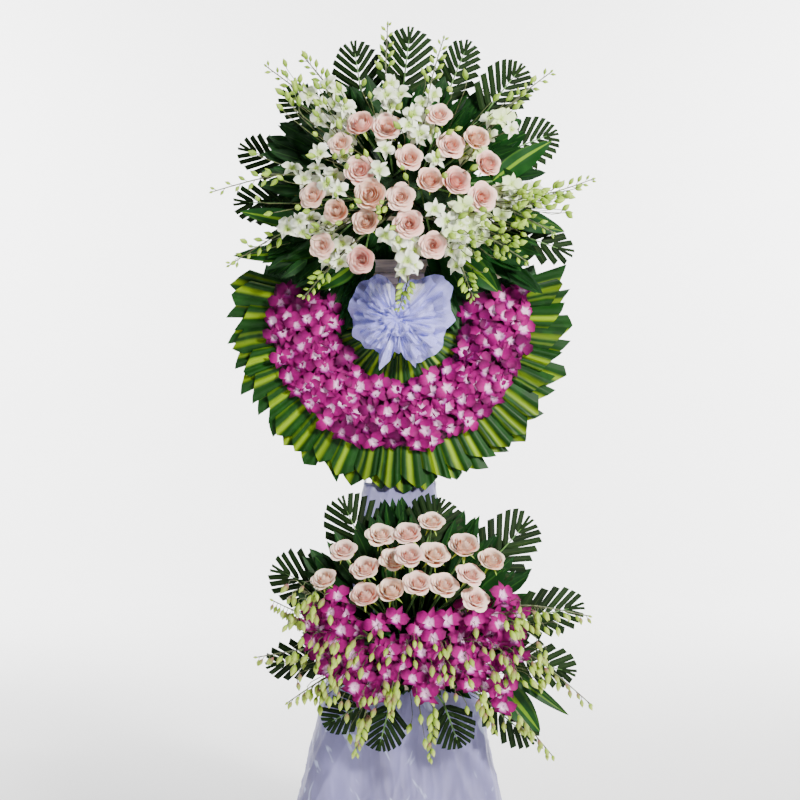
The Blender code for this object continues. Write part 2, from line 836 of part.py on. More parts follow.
def spray_stem(points, pairs, fork, opened):
    """The stem and buds of a spray, brought forward as far as it must be to clear what is in its way."""
    for shift in least_shifts(0.008, 6):
        moved = [point + shift for point in points]
        flowering = [along_path(moved, BUDS_FROM * count / 2) for count in range(3)]
        shares = [BUDS_FROM + (BUDS_TO - BUDS_FROM) * (count + 1) / pairs for count in range(pairs)]
        budding = [along_path(moved, share) for share in shares]
        way = clear_way(fork.start(moved[0]), moved[0], STEM_RADIUS)
        if way is None:
            continue
        stem = budded_stem(way[:-1], (*flowering, *budding), len(flowering), BUD_LENGTH)
        if is_clear(stem, opened):
            return stem, flowering
        remove(stem)
    return None, None


def spray_bloom(flowering, share, direction, roll, opened):
    """A bloom this share of the way along the flowering part, or as near as there is room for it."""
    for lift in (0.38, 0.60):
        for slide in (0, 0.06, -0.06, 0.12, -0.12, 0.18, -0.18, 0.24, -0.24, 0.32, -0.32):
            along = share + slide
            if not 0.02 <= along <= 1:
                continue
            centre = between(flowering, along) + direction * BLOOM_RADIUS * lift
            bloom = orchid_bloom(centre, BLOOM_RADIUS, direction, roll, neck=lift + 0.04)
            if is_clear(bloom, opened):
                return bloom
            remove(bloom)
    return None


def spray(path, blooms, pairs, tip_depth, fork, depth_at, draw, opened):
    """One orchid stem with open blooms on its lower part and pairs of buds to its tip."""
    first, middle, last = path
    root_depth = depth_at(*first) + SPRAY_BEHIND
    points = (seen(*first, root_depth), seen(*middle, (root_depth + tip_depth) / 2), seen(*last, tip_depth))
    stem, flowering = spray_stem(points, pairs, fork, opened)
    if stem is None:
        print("no clear way for the spray", path)
        return []
    pieces = [stem]
    across = (points[2] - points[0]).cross(FRONT).normalized()
    for count in range(blooms):
        side = across * (1 if count % 2 else -1)
        stray = Vector((draw.uniform(-0.2, 0.2), 0, draw.uniform(-0.1, 0.3)))
        direction = (FRONT * 0.8 + side * 0.8 + stray).normalized()
        roll = draw.uniform(0, math.pi)
        share = count / max(1, blooms - 1)
        bloom = spray_bloom(flowering, share, direction, roll, opened)
        if bloom is None:
            bloom = spray_bloom(flowering, share, (FRONT - side * 0.9 + stray).normalized(), roll, opened)
        if bloom:
            pieces.append(bloom)
            opened.append(tree_of(bloom))
        else:
            print("no clear place for bloom", count, "of", path)
    return pieces


def spray_bunch(name, sprays, holder, depth_at, finish, seed):
    draw = random.Random(seed)
    roots = [seen(*path[0], depth_at(*path[0]) + SPRAY_BEHIND) for path, blooms, pairs, tip_depth in sprays]
    foot, fork = holder.stub(mean(roots))
    pieces = [foot]
    opened = []
    for path, blooms, pairs, tip_depth in sprays:
        pieces += spray(path, blooms, pairs, tip_depth, fork, depth_at, draw, opened)
    node = fuse(name, pieces, finish)
    stand_in_the_way(node)
    return node


def blade_bunch(name, blades, holder, make, finish):
    """Fronds or leaves on their own stalks, joined where they enter the foam."""
    ends = []
    for base, tip, half, base_depth, tip_depth in blades:
        ends.append((seen(*base, base_depth), seen(*tip, tip_depth), half * PIXEL))
    foot, fork = holder.stub(mean([base for base, tip, half in ends]))
    pieces = [foot]
    for base, tip, half in ends:
        way = clear_way(fork.start(base), base, 0.0035) or (fork.start(base), base)
        blade = make(way, tip, half)
        if not is_clear(blade):
            print("a blade of", name, "touches something")
        pieces.append(blade)
    node = fuse(name, pieces, finish)
    stand_in_the_way(node)
    return node


# The wreath

def around(radius, angle, depth):
    return Vector((radius * math.cos(angle), depth, WREATH_CENTRE_HEIGHT + radius * math.sin(angle)))


def leaf_collar(first, last, count, inner, outer, inward):
    """Pleated leaves side by side round the wreath, as one blade with two points to each leaf."""
    draw = random.Random(count * 7 + int(first * 10))
    bm = bmesh.new()
    pitch = (last - first) / count
    inner_ring = []
    rim = []
    for leaf in range(count + 1):
        start = first + pitch * leaf
        reach = outer * (1 + draw.uniform(-0.012, 0.012))
        notch = outer * (1.05 if inward else 0.935)
        inner_ring.append(bm.verts.new(around(inner, start, LEAF_PLANE)))
        rim.append(bm.verts.new(around(notch, start, LEAF_PLANE - 0.001)))
        if leaf == count:
            break
        inner_ring.append(bm.verts.new(around(inner, start + pitch / 2, LEAF_PLANE - 0.005)))
        fold = LEAF_PLANE - (0.006 if inward else 0.013)
        rim.append(bm.verts.new(around(reach, start + pitch * 0.20, LEAF_PLANE - 0.005)))
        rim.append(bm.verts.new(around((reach + notch) / 2, start + pitch * 0.5, fold)))
        rim.append(bm.verts.new(around(reach, start + pitch * 0.80, LEAF_PLANE - 0.005)))
    for leaf in range(count):
        lower = inner_ring[2 * leaf:2 * leaf + 3]
        upper = rim[4 * leaf:4 * leaf + 5]
        bm.faces.new((lower[0], upper[0], upper[1]))
        bm.faces.new((lower[0], upper[1], upper[2]))
        bm.faces.new((lower[0], upper[2], lower[1]))
        bm.faces.new((lower[1], upper[2], lower[2]))
        bm.faces.new((lower[2], upper[2], upper[3]))
        bm.faces.new((lower[2], upper[3], upper[4]))
    return sheet_to_blade(bm)


def arc_slab(first, last, inner, outer, back, front, steps):
    """A flat arc with square edges."""
    bm = bmesh.new()
    rows = []
    for step in range(steps + 1):
        angle = first + (last - first) * step / steps
        corners = ((inner, front), (outer, front), (outer, back), (inner, back))
        rows.append([bm.verts.new(around(radius, angle, depth)) for radius, depth in corners])
    for near, far in zip(rows, rows[1:]):
        for corner in range(4):
            after = (corner + 1) % 4
            bm.faces.new((near[corner], near[after], far[after], far[corner]))
    bm.faces.new(rows[0])
    bm.faces.new(rows[-1])
    bmesh.ops.recalc_face_normals(bm, faces=bm.faces)
    return object_from(bm)


def wreath_band(first, last, seed):
    """A stretch of the orchid band: rows of blooms standing out of a backing that rests on the board."""
    draw = random.Random(seed)
    back = LEAF_PLANE - 0.0115
    front = back - 0.010
    backing = arc_slab(first, last, BAND_INNER_RADIUS + 0.006, BAND_OUTER_RADIUS - 0.006, back, front, 6)
    seat = arc_slab(first + 0.02, last - 0.02, 0.1985, 0.2100, BOARD_FRONT - GAP, back - 0.002, 6)
    pieces = [backing, seat]
    rows = 3
    reach = 0.031
    opened = []
    lowest = BAND_INNER_RADIUS + 0.023
    spacing = (BAND_OUTER_RADIUS - 0.023 - lowest) / (rows - 1)
    for row in range(rows):
        radius = lowest + spacing * row
        half_turn = reach / radius
        count = round((last - first - 2 * half_turn) * radius / 0.058) + 1
        for bloom in range(count):
            angle = first + half_turn + (last - first - 2 * half_turn) * bloom / (count - 1)
            outward = Vector((math.cos(angle), 0, math.sin(angle)))
            direction = (FRONT + outward * 0.12 * (row - 1)).normalized()
            roll = draw.uniform(0, 1.2)
            for lift in (0.006, 0.011, 0.016, 0.021):
                centre = around(radius, angle, front - lift)
                bloom = orchid_bloom(centre, reach, direction, roll, neck=(lift + 0.003) / reach)
                if is_clear(bloom, opened) or lift == 0.021:
                    break
                remove(bloom)
            opened.append(tree_of(bloom))
            pieces.append(bloom)
    return pieces


def build_wreath():
    board_back = BOARD_FRONT + BOARD_THICKNESS
    board = arc_slab(BOARD_FROM, BOARD_TO, 0.118, 0.300, board_back, BOARD_FRONT, 16)
    nodes = [named(board, "wreath_board", FOAM)]
    parts = 3
    slit = 0.0012
    for part in range(parts):
        pitch = (WREATH_TO - WREATH_FROM) / OUTER_LEAVES
        first = WREATH_FROM + pitch * round(OUTER_LEAVES * part / parts)
        last = WREATH_FROM + pitch * round(OUTER_LEAVES * (part + 1) / parts)
        leaves = round(OUTER_LEAVES * (part + 1) / parts) - round(OUTER_LEAVES * part / parts)
        collar = leaf_collar(first + slit, last - slit, leaves, 0.212, LEAF_RIM_RADIUS, False)
        nodes.append(named(collar, f"outer_leaves_{part + 1}", LEAF))
    for part in range(parts):
        first = INNER_FROM + (INNER_TO - INNER_FROM) * part / parts
        last = INNER_FROM + (INNER_TO - INNER_FROM) * (part + 1) / parts
        count = INNER_LEAVES // parts
        collar = leaf_collar(first + slit * 6, last - slit * 6, count, INNER_LEAF_FOOT, INNER_LEAF_RADIUS, True)
        nodes.append(named(collar, f"inner_leaves_{part + 1}", LEAF))
    for part in range(parts):
        first = WREATH_FROM + BAND_MARGIN + (WREATH_TO - WREATH_FROM - 2 * BAND_MARGIN) * part / parts
        last = WREATH_FROM + BAND_MARGIN + (WREATH_TO - WREATH_FROM - 2 * BAND_MARGIN) * (part + 1) / parts
        nodes.append(fuse(f"purple_band_{part + 1}", wreath_band(first + slit, last - slit, part), PURPLE))
    return nodes


# The easel, skirt and bow

def leg_depth(height):
    return APEX_DEPTH + (FOOT_DEPTH - APEX_DEPTH) * (1 - height / APEX_HEIGHT)


def build_easel():
    nodes = []
    inner_top = POST_HALF_WIDTH + LEG_WIDTH / 2 + GAP
    for side, name in ((-1, "front_leg_left"), (1, "front_leg_right")):
        foot = (side * FOOT_SPREAD, FOOT_DEPTH, 0)
        top = (side * inner_top, APEX_DEPTH, APEX_HEIGHT)
        nodes.append(named(leaning_bar(foot, top, LEG_WIDTH, LEG_THICKNESS), name, WOOD))
    post = block((-POST_HALF_WIDTH, 0, POST_LOW), (POST_HALF_WIDTH, POST_THICKNESS, POST_HIGH))
    nodes.append(named(post, "post", WOOD))
    rear_thickness = LEG_THICKNESS
    rear_top = (0, POST_THICKNESS + GAP + rear_thickness / 2, REAR_TOP_HEIGHT)
    rear_foot = (0, REAR_FOOT_DEPTH, 0)
    nodes.append(named(leaning_bar(rear_foot, rear_top, LEG_WIDTH, rear_thickness), "rear_leg", WOOD))
    for name, (low, high) in zip(("slat_lower", "slat_upper"), SLAT_ROWS):
        slat = block((-SLAT_HALF_WIDTH, -SLAT_THICKNESS - GAP, low), (SLAT_HALF_WIDTH, -GAP, high))
        nodes.append(named(slat, name, WOOD))
    rail_back = leg_depth(RAIL_HEIGHT + RAIL_SIZE / 2) - LEG_THICKNESS / 2 - GAP
    rail_back = min(rail_back, leg_depth(RAIL_HEIGHT - RAIL_SIZE / 2) - LEG_THICKNESS / 2 - GAP)
    reach = FOOT_SPREAD * (1 - RAIL_HEIGHT / APEX_HEIGHT) + inner_top * RAIL_HEIGHT / APEX_HEIGHT + 0.012
    rail_low = RAIL_HEIGHT - RAIL_SIZE / 2
    rail_high = RAIL_HEIGHT + RAIL_SIZE / 2
    rail_front = rail_back - 0.012
    rail = block((-reach, rail_front, rail_low), (reach, rail_back, rail_high))
    nodes.append(named(rail, "front_rail", WOOD))
    slope = (REAR_FOOT_DEPTH - rear_top[1]) / REAR_TOP_HEIGHT
    tie_end = REAR_FOOT_DEPTH - slope * rail_high - rear_thickness / 2 - GAP
    tie = block((-0.011, rail_back + GAP, rail_low), (0.011, tie_end, rail_high))
    nodes.append(named(tie, "tie_rail", WOOD))
    return nodes, rail_front


def build_shelf(rail_front):
    """The board under the lower foam, on two arms that come through the skirt."""
    top = LOWER_FOAM_LOW.z - GAP
    board = block((LOWER_FOAM_LOW.x - 0.004, LOWER_FOAM_LOW.y - 0.004, top - SHELF_THICKNESS),
                  (LOWER_FOAM_HIGH.x + 0.004, LOWER_FOAM_HIGH.y + 0.003, top))
    arms = []
    low = top - SHELF_THICKNESS - ARM_SIZE + 0.001
    for side in (-1, 1):
        x = side * ARM_OFFSET
        upright_low = RAIL_HEIGHT - RAIL_SIZE / 2
        arm = block((x - ARM_SIZE / 2, LOWER_FOAM_LOW.y, low),
                    (x + ARM_SIZE / 2, rail_front - GAP, low + ARM_SIZE))
        hanger = block((x - ARM_SIZE / 2, rail_front - GAP - 0.006, upright_low),
                       (x + ARM_SIZE / 2, rail_front - GAP, low + 0.002))
        arms += [arm, hanger]
    return fuse("lower_shelf", [board] + arms, WOOD), low


def build_bracket():
    """The bracket on the post that carries the upper foam."""
    top = UPPER_FOAM_LOW.z - GAP
    board = block((UPPER_FOAM_LOW.x - 0.002, UPPER_FOAM_LOW.y - 0.002, top - 0.008),
                  (UPPER_FOAM_HIGH.x + 0.002, -GAP, top))
    back = block((-0.05, -0.012, top - 0.030), (0.05, -GAP, top + 0.06))
    return fuse("upper_bracket", [board, back], WOOD)


def build_skirt(arm_low):
    """A cloth wrapped round the front and sides of the legs, open at the back, slit for the arms."""
    draw = random.Random(5)
    bm = bmesh.new()
    rows = []
    columns = 12
    for height, half, front in SKIRT_ROWS:
        row = []
        side = SKIRT_SIDE_DEPTH * (0.45 + 0.55 * (1 - height / SKIRT_ROWS[-1][0]))
        length = 2 * half + 2 * side
        for column in range(columns + 1):
            walked = length * column / columns
            ripple = SKIRT_RIPPLE * math.sin(column * 2.2 + height * 5) * (1 - 0.7 * height)
            ripple += draw.uniform(-0.001, 0.001)
            if walked < side:
                place = (-half + ripple, front + side - walked)
            elif walked < side + 2 * half:
                place = (-half + walked - side, front + ripple)
            else:
                place = (half + ripple, front + walked - side - 2 * half)
            row.append(bm.verts.new((place[0], place[1], height)))
        rows.append(row)
    for lower, upper in zip(rows, rows[1:]):
        for column in range(columns):
            bm.faces.new((lower[column], lower[column + 1], upper[column + 1], upper[column]))
    bmesh.ops.triangulate(bm, faces=bm.faces)
    bmesh.ops.recalc_face_normals(bm, faces=bm.faces)
    sheet = object_from(bm)
    wall = sheet.modifiers.new("thickness", "SOLIDIFY")
    wall.thickness = SKIRT_CLOTH
    wall.offset = 0
    slits = []
    for side in (-1, 1):
        x = side * ARM_OFFSET
        reach = ARM_SIZE / 2 + ARM_SLACK
        slits.append(block((x - reach, -0.25, arm_low - ARM_SLACK),
                           (x + reach, -0.05, arm_low + ARM_SIZE + ARM_SLACK)))
    cut(sheet, slits)
    node = named(sheet, "skirt", CLOTH, smooth=True)
    for slit in slits:
        remove(slit)
    return node


def net_fan(centre, first, last, reach, pleats):
    """One gathered loop of the net bow: a pleated fan that narrows to the knot."""
    bm = bmesh.new()
    rows = []
    for ring in range(3):
        row = []
        for pleat in range(pleats + 1):
            angle = first + (last - first) * pleat / pleats
            share = ring / 2
            radius = 0.008 + (reach(angle) - 0.008) * share
            wave = (1 if pleat % 2 else -1) * (0.001 + NET_PLEAT * share)
            depth = wave - NET_PLEAT * share
            row.append(bm.verts.new(centre + Vector((radius * math.cos(angle), depth, radius * math.sin(angle)))))
        rows.append(row)
    for lower, upper in zip(rows, rows[1:]):
        for pleat in range(pleats):
            bm.faces.new((lower[pleat], lower[pleat + 1], upper[pleat + 1], upper[pleat]))
    return sheet_to_blade(bm)


def build_bow():
    knot_centre = seen(402, 322, -0.110)
    left = net_fan(knot_centre + Vector((-0.010, 0, 0)), math.radians(128), math.radians(262),
                   lambda angle: 0.104 + 0.010 * math.cos(3 * angle), 7)
    right = net_fan(knot_centre + Vector((0.010, 0, 0)), math.radians(-78), math.radians(60),
                    lambda angle: 0.106 + 0.018 * math.sin(angle), 7)
    tails = net_fan(knot_centre + Vector((0, 0.002, -0.008)), math.radians(246), math.radians(294),
                    lambda angle: 0.078, 4)
    bm = bmesh.new()
    bmesh.ops.create_uvsphere(bm, u_segments=6, v_segments=4, radius=0.017)
    bmesh.ops.scale(bm, vec=(1.1, 1.0, 1.0), verts=bm.verts)
    bmesh.ops.translate(bm, vec=knot_centre, verts=bm.verts)
    knot = object_from(bm)
    slat_front = -SLAT_THICKNESS - 2 * GAP
    tie = rod((knot_centre, Vector((0, -0.060, 1.262)), Vector((0, slat_front, 1.262))), 0.0025)
    return [fuse("net_bow", [knot, left, right, tails, tie], NET)]


def build():
    easel, rail_front = build_easel()
    shelf, arm_low = build_shelf(rail_front)
    bracket = build_bracket()
    skirt = build_skirt(arm_low)
    wreath = build_wreath()
    bow = build_bow()
    stand_in_the_way(*easel, shelf, bracket, skirt, *wreath, *bow)
    upper = Holder("upper_foam", UPPER_FOAM_LOW, UPPER_FOAM_HIGH, UPPER_FOCUS)
    lower = Holder("lower_foam", LOWER_FOAM_LOW, LOWER_FOAM_HIGH, LOWER_FOCUS)
    for holder, fronds, leaves in ((upper, UPPER_FRONDS, UPPER_LEAVES), (lower, LOWER_FRONDS, LOWER_LEAVES)):
        for name, blades in fronds.items():
            blade_bunch(name, blades, holder, frond_blade, FROND)
        for name, blades in leaves.items():
            blade_bunch(name, blades, holder, broad_blade, LEAF)
    for name, roses in UPPER_ROSES.items():
        rose_bunch(name, roses, upper, upper_depth)
    for name, roses in LOWER_ROSES.items():
        rose_bunch(name, roses, lower, lower_depth)
    for seed, (name, sprays) in enumerate(UPPER_SPRAYS.items()):
        spray_bunch(name, sprays, upper, upper_depth, WHITE, seed)
    for seed, (name, sprays) in enumerate(LOWER_SPRAYS.items()):
        spray_bunch(name, sprays, lower, lower_depth, PURPLE, seed + 20)
    upper.build()
    lower.build()


build()
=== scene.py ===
# %% [markdown]
# # Funeral flower stand
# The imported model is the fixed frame: easel, foam, wreath board and one solid for each bunch.
# This lesson dresses it. Each flower, leaf and cloth is modelled once as a small mesh, copied to its
# places, and stands for the plain solid that is there.

# %% Load the frame
import math
import random

import bmesh
import bpy
from mathutils import Matrix, Vector, noise


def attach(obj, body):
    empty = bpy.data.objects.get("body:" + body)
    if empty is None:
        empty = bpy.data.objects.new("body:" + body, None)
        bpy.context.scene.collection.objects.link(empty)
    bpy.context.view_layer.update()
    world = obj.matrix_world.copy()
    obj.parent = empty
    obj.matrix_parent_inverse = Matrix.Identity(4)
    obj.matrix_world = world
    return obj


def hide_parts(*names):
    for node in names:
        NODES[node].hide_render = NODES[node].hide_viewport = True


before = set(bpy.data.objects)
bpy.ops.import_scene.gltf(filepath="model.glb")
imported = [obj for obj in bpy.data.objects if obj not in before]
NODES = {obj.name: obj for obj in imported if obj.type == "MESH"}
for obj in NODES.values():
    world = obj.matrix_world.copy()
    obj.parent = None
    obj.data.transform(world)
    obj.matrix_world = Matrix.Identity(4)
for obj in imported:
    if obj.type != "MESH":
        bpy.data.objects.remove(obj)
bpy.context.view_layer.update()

FRONT = Vector((0, -1, 0))
UP = Vector((0, 0, 1))

# %% [markdown]
# The stand was laid out on a picture plane: a column and a row, 2.1 mm apart, seen from an eye 3.6 m in
# front. The same rule gives every place here, so the dressing lands on the solids.

# %% Places on the picture plane
PIXEL = 0.0021
MIDDLE_COLUMN = 402
FLOOR_ROW = 880
EYE_DISTANCE = 3.6
EYE_HEIGHT = 1.15


def seen(column, row, depth):
    """The point at this depth that lies behind this column and row of the picture."""
    along = (depth + EYE_DISTANCE) / EYE_DISTANCE
    x = (column - MIDDLE_COLUMN) * PIXEL * along
    z = EYE_HEIGHT + ((FLOOR_ROW - row) * PIXEL - EYE_HEIGHT) * along
    return Vector((x, depth, z))


def dome(column, row, centre, half_size, rim, rise):
    """How far forward the flowers stand: a dome that is deepest in its middle."""
    across = (column - centre[0]) / half_size[0]
    upright = (row - centre[1]) / half_size[1]
    return rim - rise * math.sqrt(max(0, 1 - across * across - upright * upright))


UPPER_DOME = ((402, 190), (200, 150), -0.130, 0.150)
LOWER_DOME = ((415, 620), (190, 130), -0.215, 0.115)
UPPER_FOCUS = Vector((0.0, -0.045, 1.440))
LOWER_FOCUS = Vector((0.015, -0.155, 0.500))


def is_lower(name):
    return name.startswith("lower")


def focus_of(name):
    """The point in the foam from which the stems of this node spread."""
    return LOWER_FOCUS if is_lower(name) else UPPER_FOCUS


print("column 402, row 190 of the upper dome:", seen(402, 190, dome(402, 190, *UPPER_DOME)))

# %% [markdown]
# The camera stands at the eye, with the field of view that makes 800 pixels cover 1.68 m at the stand.
# The floor sweeps up into a wall, so no corner shows. A key lamp at the front right gives the shadows, a
# weak fill and a top lamp soften them, and two lamps by the wall keep it white.

# %% Camera, floor and light
HALF_VIEW = 0.84
AIM_HEIGHT = 1.008
FLOOR_SIZE = 18
WORLD_LIGHT = 0.20
WALL_FROM = 4.2
WALL_CURVE = 1.2
camera_data = bpy.data.cameras.new("camera")
camera = bpy.data.objects.new("camera", camera_data)
bpy.context.scene.collection.objects.link(camera)
camera.location = (0, -EYE_DISTANCE, EYE_HEIGHT)
camera.rotation_euler = (Vector((0, 0, AIM_HEIGHT)) - camera.location).to_track_quat("-Z", "Y").to_euler()
camera_data.angle = 2 * math.atan(HALF_VIEW / EYE_DISTANCE)
bpy.context.scene.camera = camera


def area_light(name, place, target, size, power, colour):
    data = bpy.data.lights.new(name, "AREA")
    data.shape = "DISK"
    data.size = size
    data.energy = power
    data.color = colour
    lamp = bpy.data.objects.new(name, data)
    bpy.context.scene.collection.objects.link(lamp)
    lamp.location = place
    lamp.rotation_euler = (Vector(target) - Vector(place)).to_track_quat("-Z", "Y").to_euler()


LAMPS = (  # name, place, target, size in metres, power in watts, colour
    ("key", (1.9, -2.9, 2.5), (0, 0, 0.95), 0.6, 290, (1.0, 0.97, 0.93)),
    ("fill", (-2.4, -2.6, 1.4), (0, 0, 0.9), 2.0, 10, (0.94, 0.97, 1.0)),
    ("top", (0.3, 0.6, 3.6), (0, -0.1, 1.2), 1.2, 45, (1, 1, 1)),
    ("wall_left", (-3.4, WALL_FROM - 1.6, 2.6), (-0.6, WALL_FROM + 1.2, 1.2), 2.0, 520, (1, 1, 1)),
    ("wall_right", (3.4, WALL_FROM - 1.6, 2.6), (0.6, WALL_FROM + 1.2, 1.2), 2.0, 520, (1, 1, 1)),
)
for lamp in LAMPS:
    area_light(*lamp)
world = bpy.data.worlds.new("studio")
world.use_nodes = True
world.node_tree.nodes["Background"].inputs["Color"].default_value = (0.96, 0.97, 1.0, 1)
world.node_tree.nodes["Background"].inputs["Strength"].default_value = WORLD_LIGHT
bpy.context.scene.world = world

bpy.ops.object.select_all(action="DESELECT")
bpy.ops.mesh.primitive_grid_add(x_subdivisions=2, y_subdivisions=80, size=FLOOR_SIZE,
                                location=(0, 0, -0.0005))
sweep = bpy.context.object
sweep.name = "sweep"
for vert in sweep.data.vertices:
    beyond = vert.co.y - WALL_FROM
    if beyond > 0:
        turn = min(beyond / WALL_CURVE, math.pi / 2)
        vert.co.y = WALL_FROM + WALL_CURVE * math.sin(turn)
        vert.co.z = WALL_CURVE * (1 - math.cos(turn)) + max(0, beyond - WALL_CURVE * math.pi / 2)
sweep.data.shade_smooth()
print("field of view", round(math.degrees(camera_data.angle), 1), "degrees")

# %% [markdown]
# A material is a small sum: noise, stripes and masks are added and multiplied. Wrapping each socket in a
# class with operators lets the sum be written as plain Python, and each sign becomes a Math node.

# %% A wire of shader maths


class Wire:
    """An output socket that can be added, multiplied and compared."""

    def __init__(self, paint, socket):
        self.paint = paint
        self.socket = socket

    def math(self, operation, *others):
        return self.paint.node("ShaderNodeMath", {"operation": operation}, self, *others)

    def __add__(self, other):
        return self.math("ADD", other)

    def __sub__(self, other):
        return self.math("SUBTRACT", other)

    def __mul__(self, other):
        return self.math("MULTIPLY", other)

    def __rsub__(self, other):
        return self.paint.node("ShaderNodeMath", {"operation": "SUBTRACT"}, other, self)

    __radd__ = __add__
    __rmul__ = __mul__

    def clamp(self):
        return self.paint.node("ShaderNodeMath", {"operation": "ADD", "use_clamp": True}, self, 0.0)

    def between(self, low, high):
        """0 below low, 1 above high, smooth in between."""
        spread = {"interpolation_type": "SMOOTHSTEP"}
        return self.paint.node("ShaderNodeMapRange", spread, self, low, high, 0.0, 1.0)


print("a wire knows", [name for name in dir(Wire) if not name.startswith("__")])

# %% [markdown]
# Every finish starts from a Principled shader. The nodes that feed it are made by one method, which takes
# their type, their settings and their inputs, so a finish reads as a short recipe. The floor is the first.

# %% A material under construction


class Paint:
    """A material under construction, with a Principled shader at its end."""

    def __init__(self, name, roughness=0.5, **constants):
        self.material = bpy.data.materials.new(name)
        self.material.use_nodes = True
        self.tree = self.material.node_tree
        self.shader = self.tree.nodes["Principled BSDF"]
        self.set("Roughness", roughness)
        for key, value in constants.items():
            self.set(key.replace("_", " "), value)

    def join(self, value, socket):
        if isinstance(value, Wire):
            self.tree.links.new(value.socket, socket)
        else:
            socket.default_value = value

    def node(self, kind, settings, *inputs, output=0, **named):
        made = self.tree.nodes.new(kind)
        for key, value in settings.items():
            setattr(made, key, value)
        for socket, value in zip(made.inputs, inputs):
            if value is not None:
                self.join(value, socket)
        for key, value in named.items():
            self.join(value, made.inputs[key.replace("_", " ")])
        return Wire(self, made.outputs[output])

    def set(self, name, value):
        self.join(value, self.shader.inputs[name])

    def place(self, scale=(1, 1, 1), tilt=0.0):
        """Object coordinates, tilted in the picture plane and then stretched."""
        coordinates = self.node("ShaderNodeTexCoord", {}, output="Object")
        if tilt:
            coordinates = self.node("ShaderNodeMapping", {}, coordinates, Rotation=(0, tilt, 0))
        return self.node("ShaderNodeMapping", {}, coordinates, Scale=scale)

    def uv(self):
        """The two halves of the piece's own map: across and along."""
        coordinates = self.node("ShaderNodeUVMap", {"uv_map": "UVMap"})
        split = self.node("ShaderNodeSeparateXYZ", {}, coordinates)
        return split, Wire(self, split.socket.node.outputs[1])

    def tint(self):
        """The number from 0 to 1 that each copy carries."""
        return self.node("ShaderNodeAttribute", {"attribute_name": "tint"}, output="Fac")

    def noise(self, vector, scale, detail=3.0, roughness=0.5):
        return self.node("ShaderNodeTexNoise", {}, Vector=vector, Scale=scale, Detail=detail,
                         Roughness=roughness)

    def mix(self, share, first, second):
        """A colour between two colours."""
        made = self.tree.nodes.new("ShaderNodeMix")
        made.data_type = "RGBA"
        self.join(share, made.inputs[0])
        self.join(first if isinstance(first, Wire) else (*first, 1), made.inputs[6])
        self.join(second if isinstance(second, Wire) else (*second, 1), made.inputs[7])
        return Wire(self, made.outputs[2])

    def finish(self, colour, height, strength, distance, roughness=None):
        """Join the colour, the bump and the roughness to the shader, and hand over the material."""
        bump = self.node("ShaderNodeBump", {}, Strength=strength, Distance=distance, Height=height)
        self.set("Normal", bump)
        self.set("Base Color", colour)
        if roughness is not None:
            self.set("Roughness", roughness)
        return self.material


floor_paint = Paint("pale_floor", 0.9)
drift = floor_paint.noise(floor_paint.place(), 3.0)
floor_paint.set("Base Color", floor_paint.mix(drift, (0.93, 0.93, 0.93), (0.96, 0.96, 0.96)))
sweep.data.materials.append(floor_paint.material)
print("floor", floor_paint.material.name, len(floor_paint.tree.nodes), "nodes")

# %% [markdown]
# ## Finishes
# Weathered boards: grey-brown wood whose grain runs along each bar, and beige on the cross boards. A
# picture of wood would smear on the bars' sides, so noise that is stretched along the bar gives the
# streaks. The foam gets dark green crumbs.

# %% Wood and foam


def wood_paint(name, stretch, dark=(0.16, 0.125, 0.10), light=(0.42, 0.37, 0.32), worn=(0.52, 0.49, 0.45)):
    paint = Paint(name, 0.8)
    grain = paint.noise(paint.place(stretch), 60.0, 6.0, 0.65)
    broad = paint.noise(paint.place(stretch), 9.0, 2.0)
    colour = paint.mix(grain.between(0.35, 0.68), dark, light)
    colour = paint.mix(broad.between(0.4, 0.7) * 0.5, colour, worn)
    return paint.finish(colour, grain, 0.35, 0.0012, 0.62 + grain * 0.3)


UPRIGHT_WOOD = wood_paint("upright_wood", (1, 1, 0.06))
CROSS_WOOD = wood_paint("cross_wood", (0.06, 1, 1), (0.38, 0.30, 0.23), (0.80, 0.67, 0.54),
                        (0.86, 0.74, 0.60))
DEEP_WOOD = wood_paint("deep_wood", (1, 0.06, 1))


def crumb_paint(name, roughness, scale, detail, low, high, dark, light, strength, distance, grain=0.5):
    """A dull, crumbly ground: foam, or a dark sheet of painted shade behind the band's blooms."""
    paint = Paint(name, roughness)
    crumbs = paint.noise(paint.place(), scale, detail, grain)
    return paint.finish(paint.mix(crumbs.between(low, high), dark, light), crumbs, strength, distance)


FOAM = crumb_paint("floral_foam", 0.95, 420.0, 4.0, 0.35, 0.7, (0.010, 0.035, 0.014), (0.035, 0.10, 0.035),
                   0.7, 0.001, 0.7)
# Painted shade: a very dark magenta for the sheet that fills the gaps between the band's blooms.
BAND_PAINTED_SHADE = crumb_paint("band_painted_shade", 0.7, 130.0, 3.0, 0.4, 0.65, (0.030, 0.000, 0.016), (0.16, 0.00, 0.08),
                        0.8, 0.003)
FINISH_OF = {
    UPRIGHT_WOOD: ("front_leg_left", "front_leg_right", "post", "rear_leg"),
    CROSS_WOOD: ("slat_lower", "slat_upper", "front_rail", "lower_shelf", "upper_bracket"),
    DEEP_WOOD: ("tie_rail",),
    FOAM: ("upper_foam", "lower_foam", "wreath_board"),
}
for finish, names in FINISH_OF.items():
    for name in names:
        NODES[name].data.materials.clear()
        NODES[name].data.materials.append(finish)
    print(finish.name, "on", names)

# %% [markdown]
# Leaves. The map of each leaf runs across from 0 to 1 and along from its foot at 0 to its tip at 1. Veins
# are stripes across the map, and a tint that differs from leaf to leaf stops them looking stamped.

# %% Leaf finishes


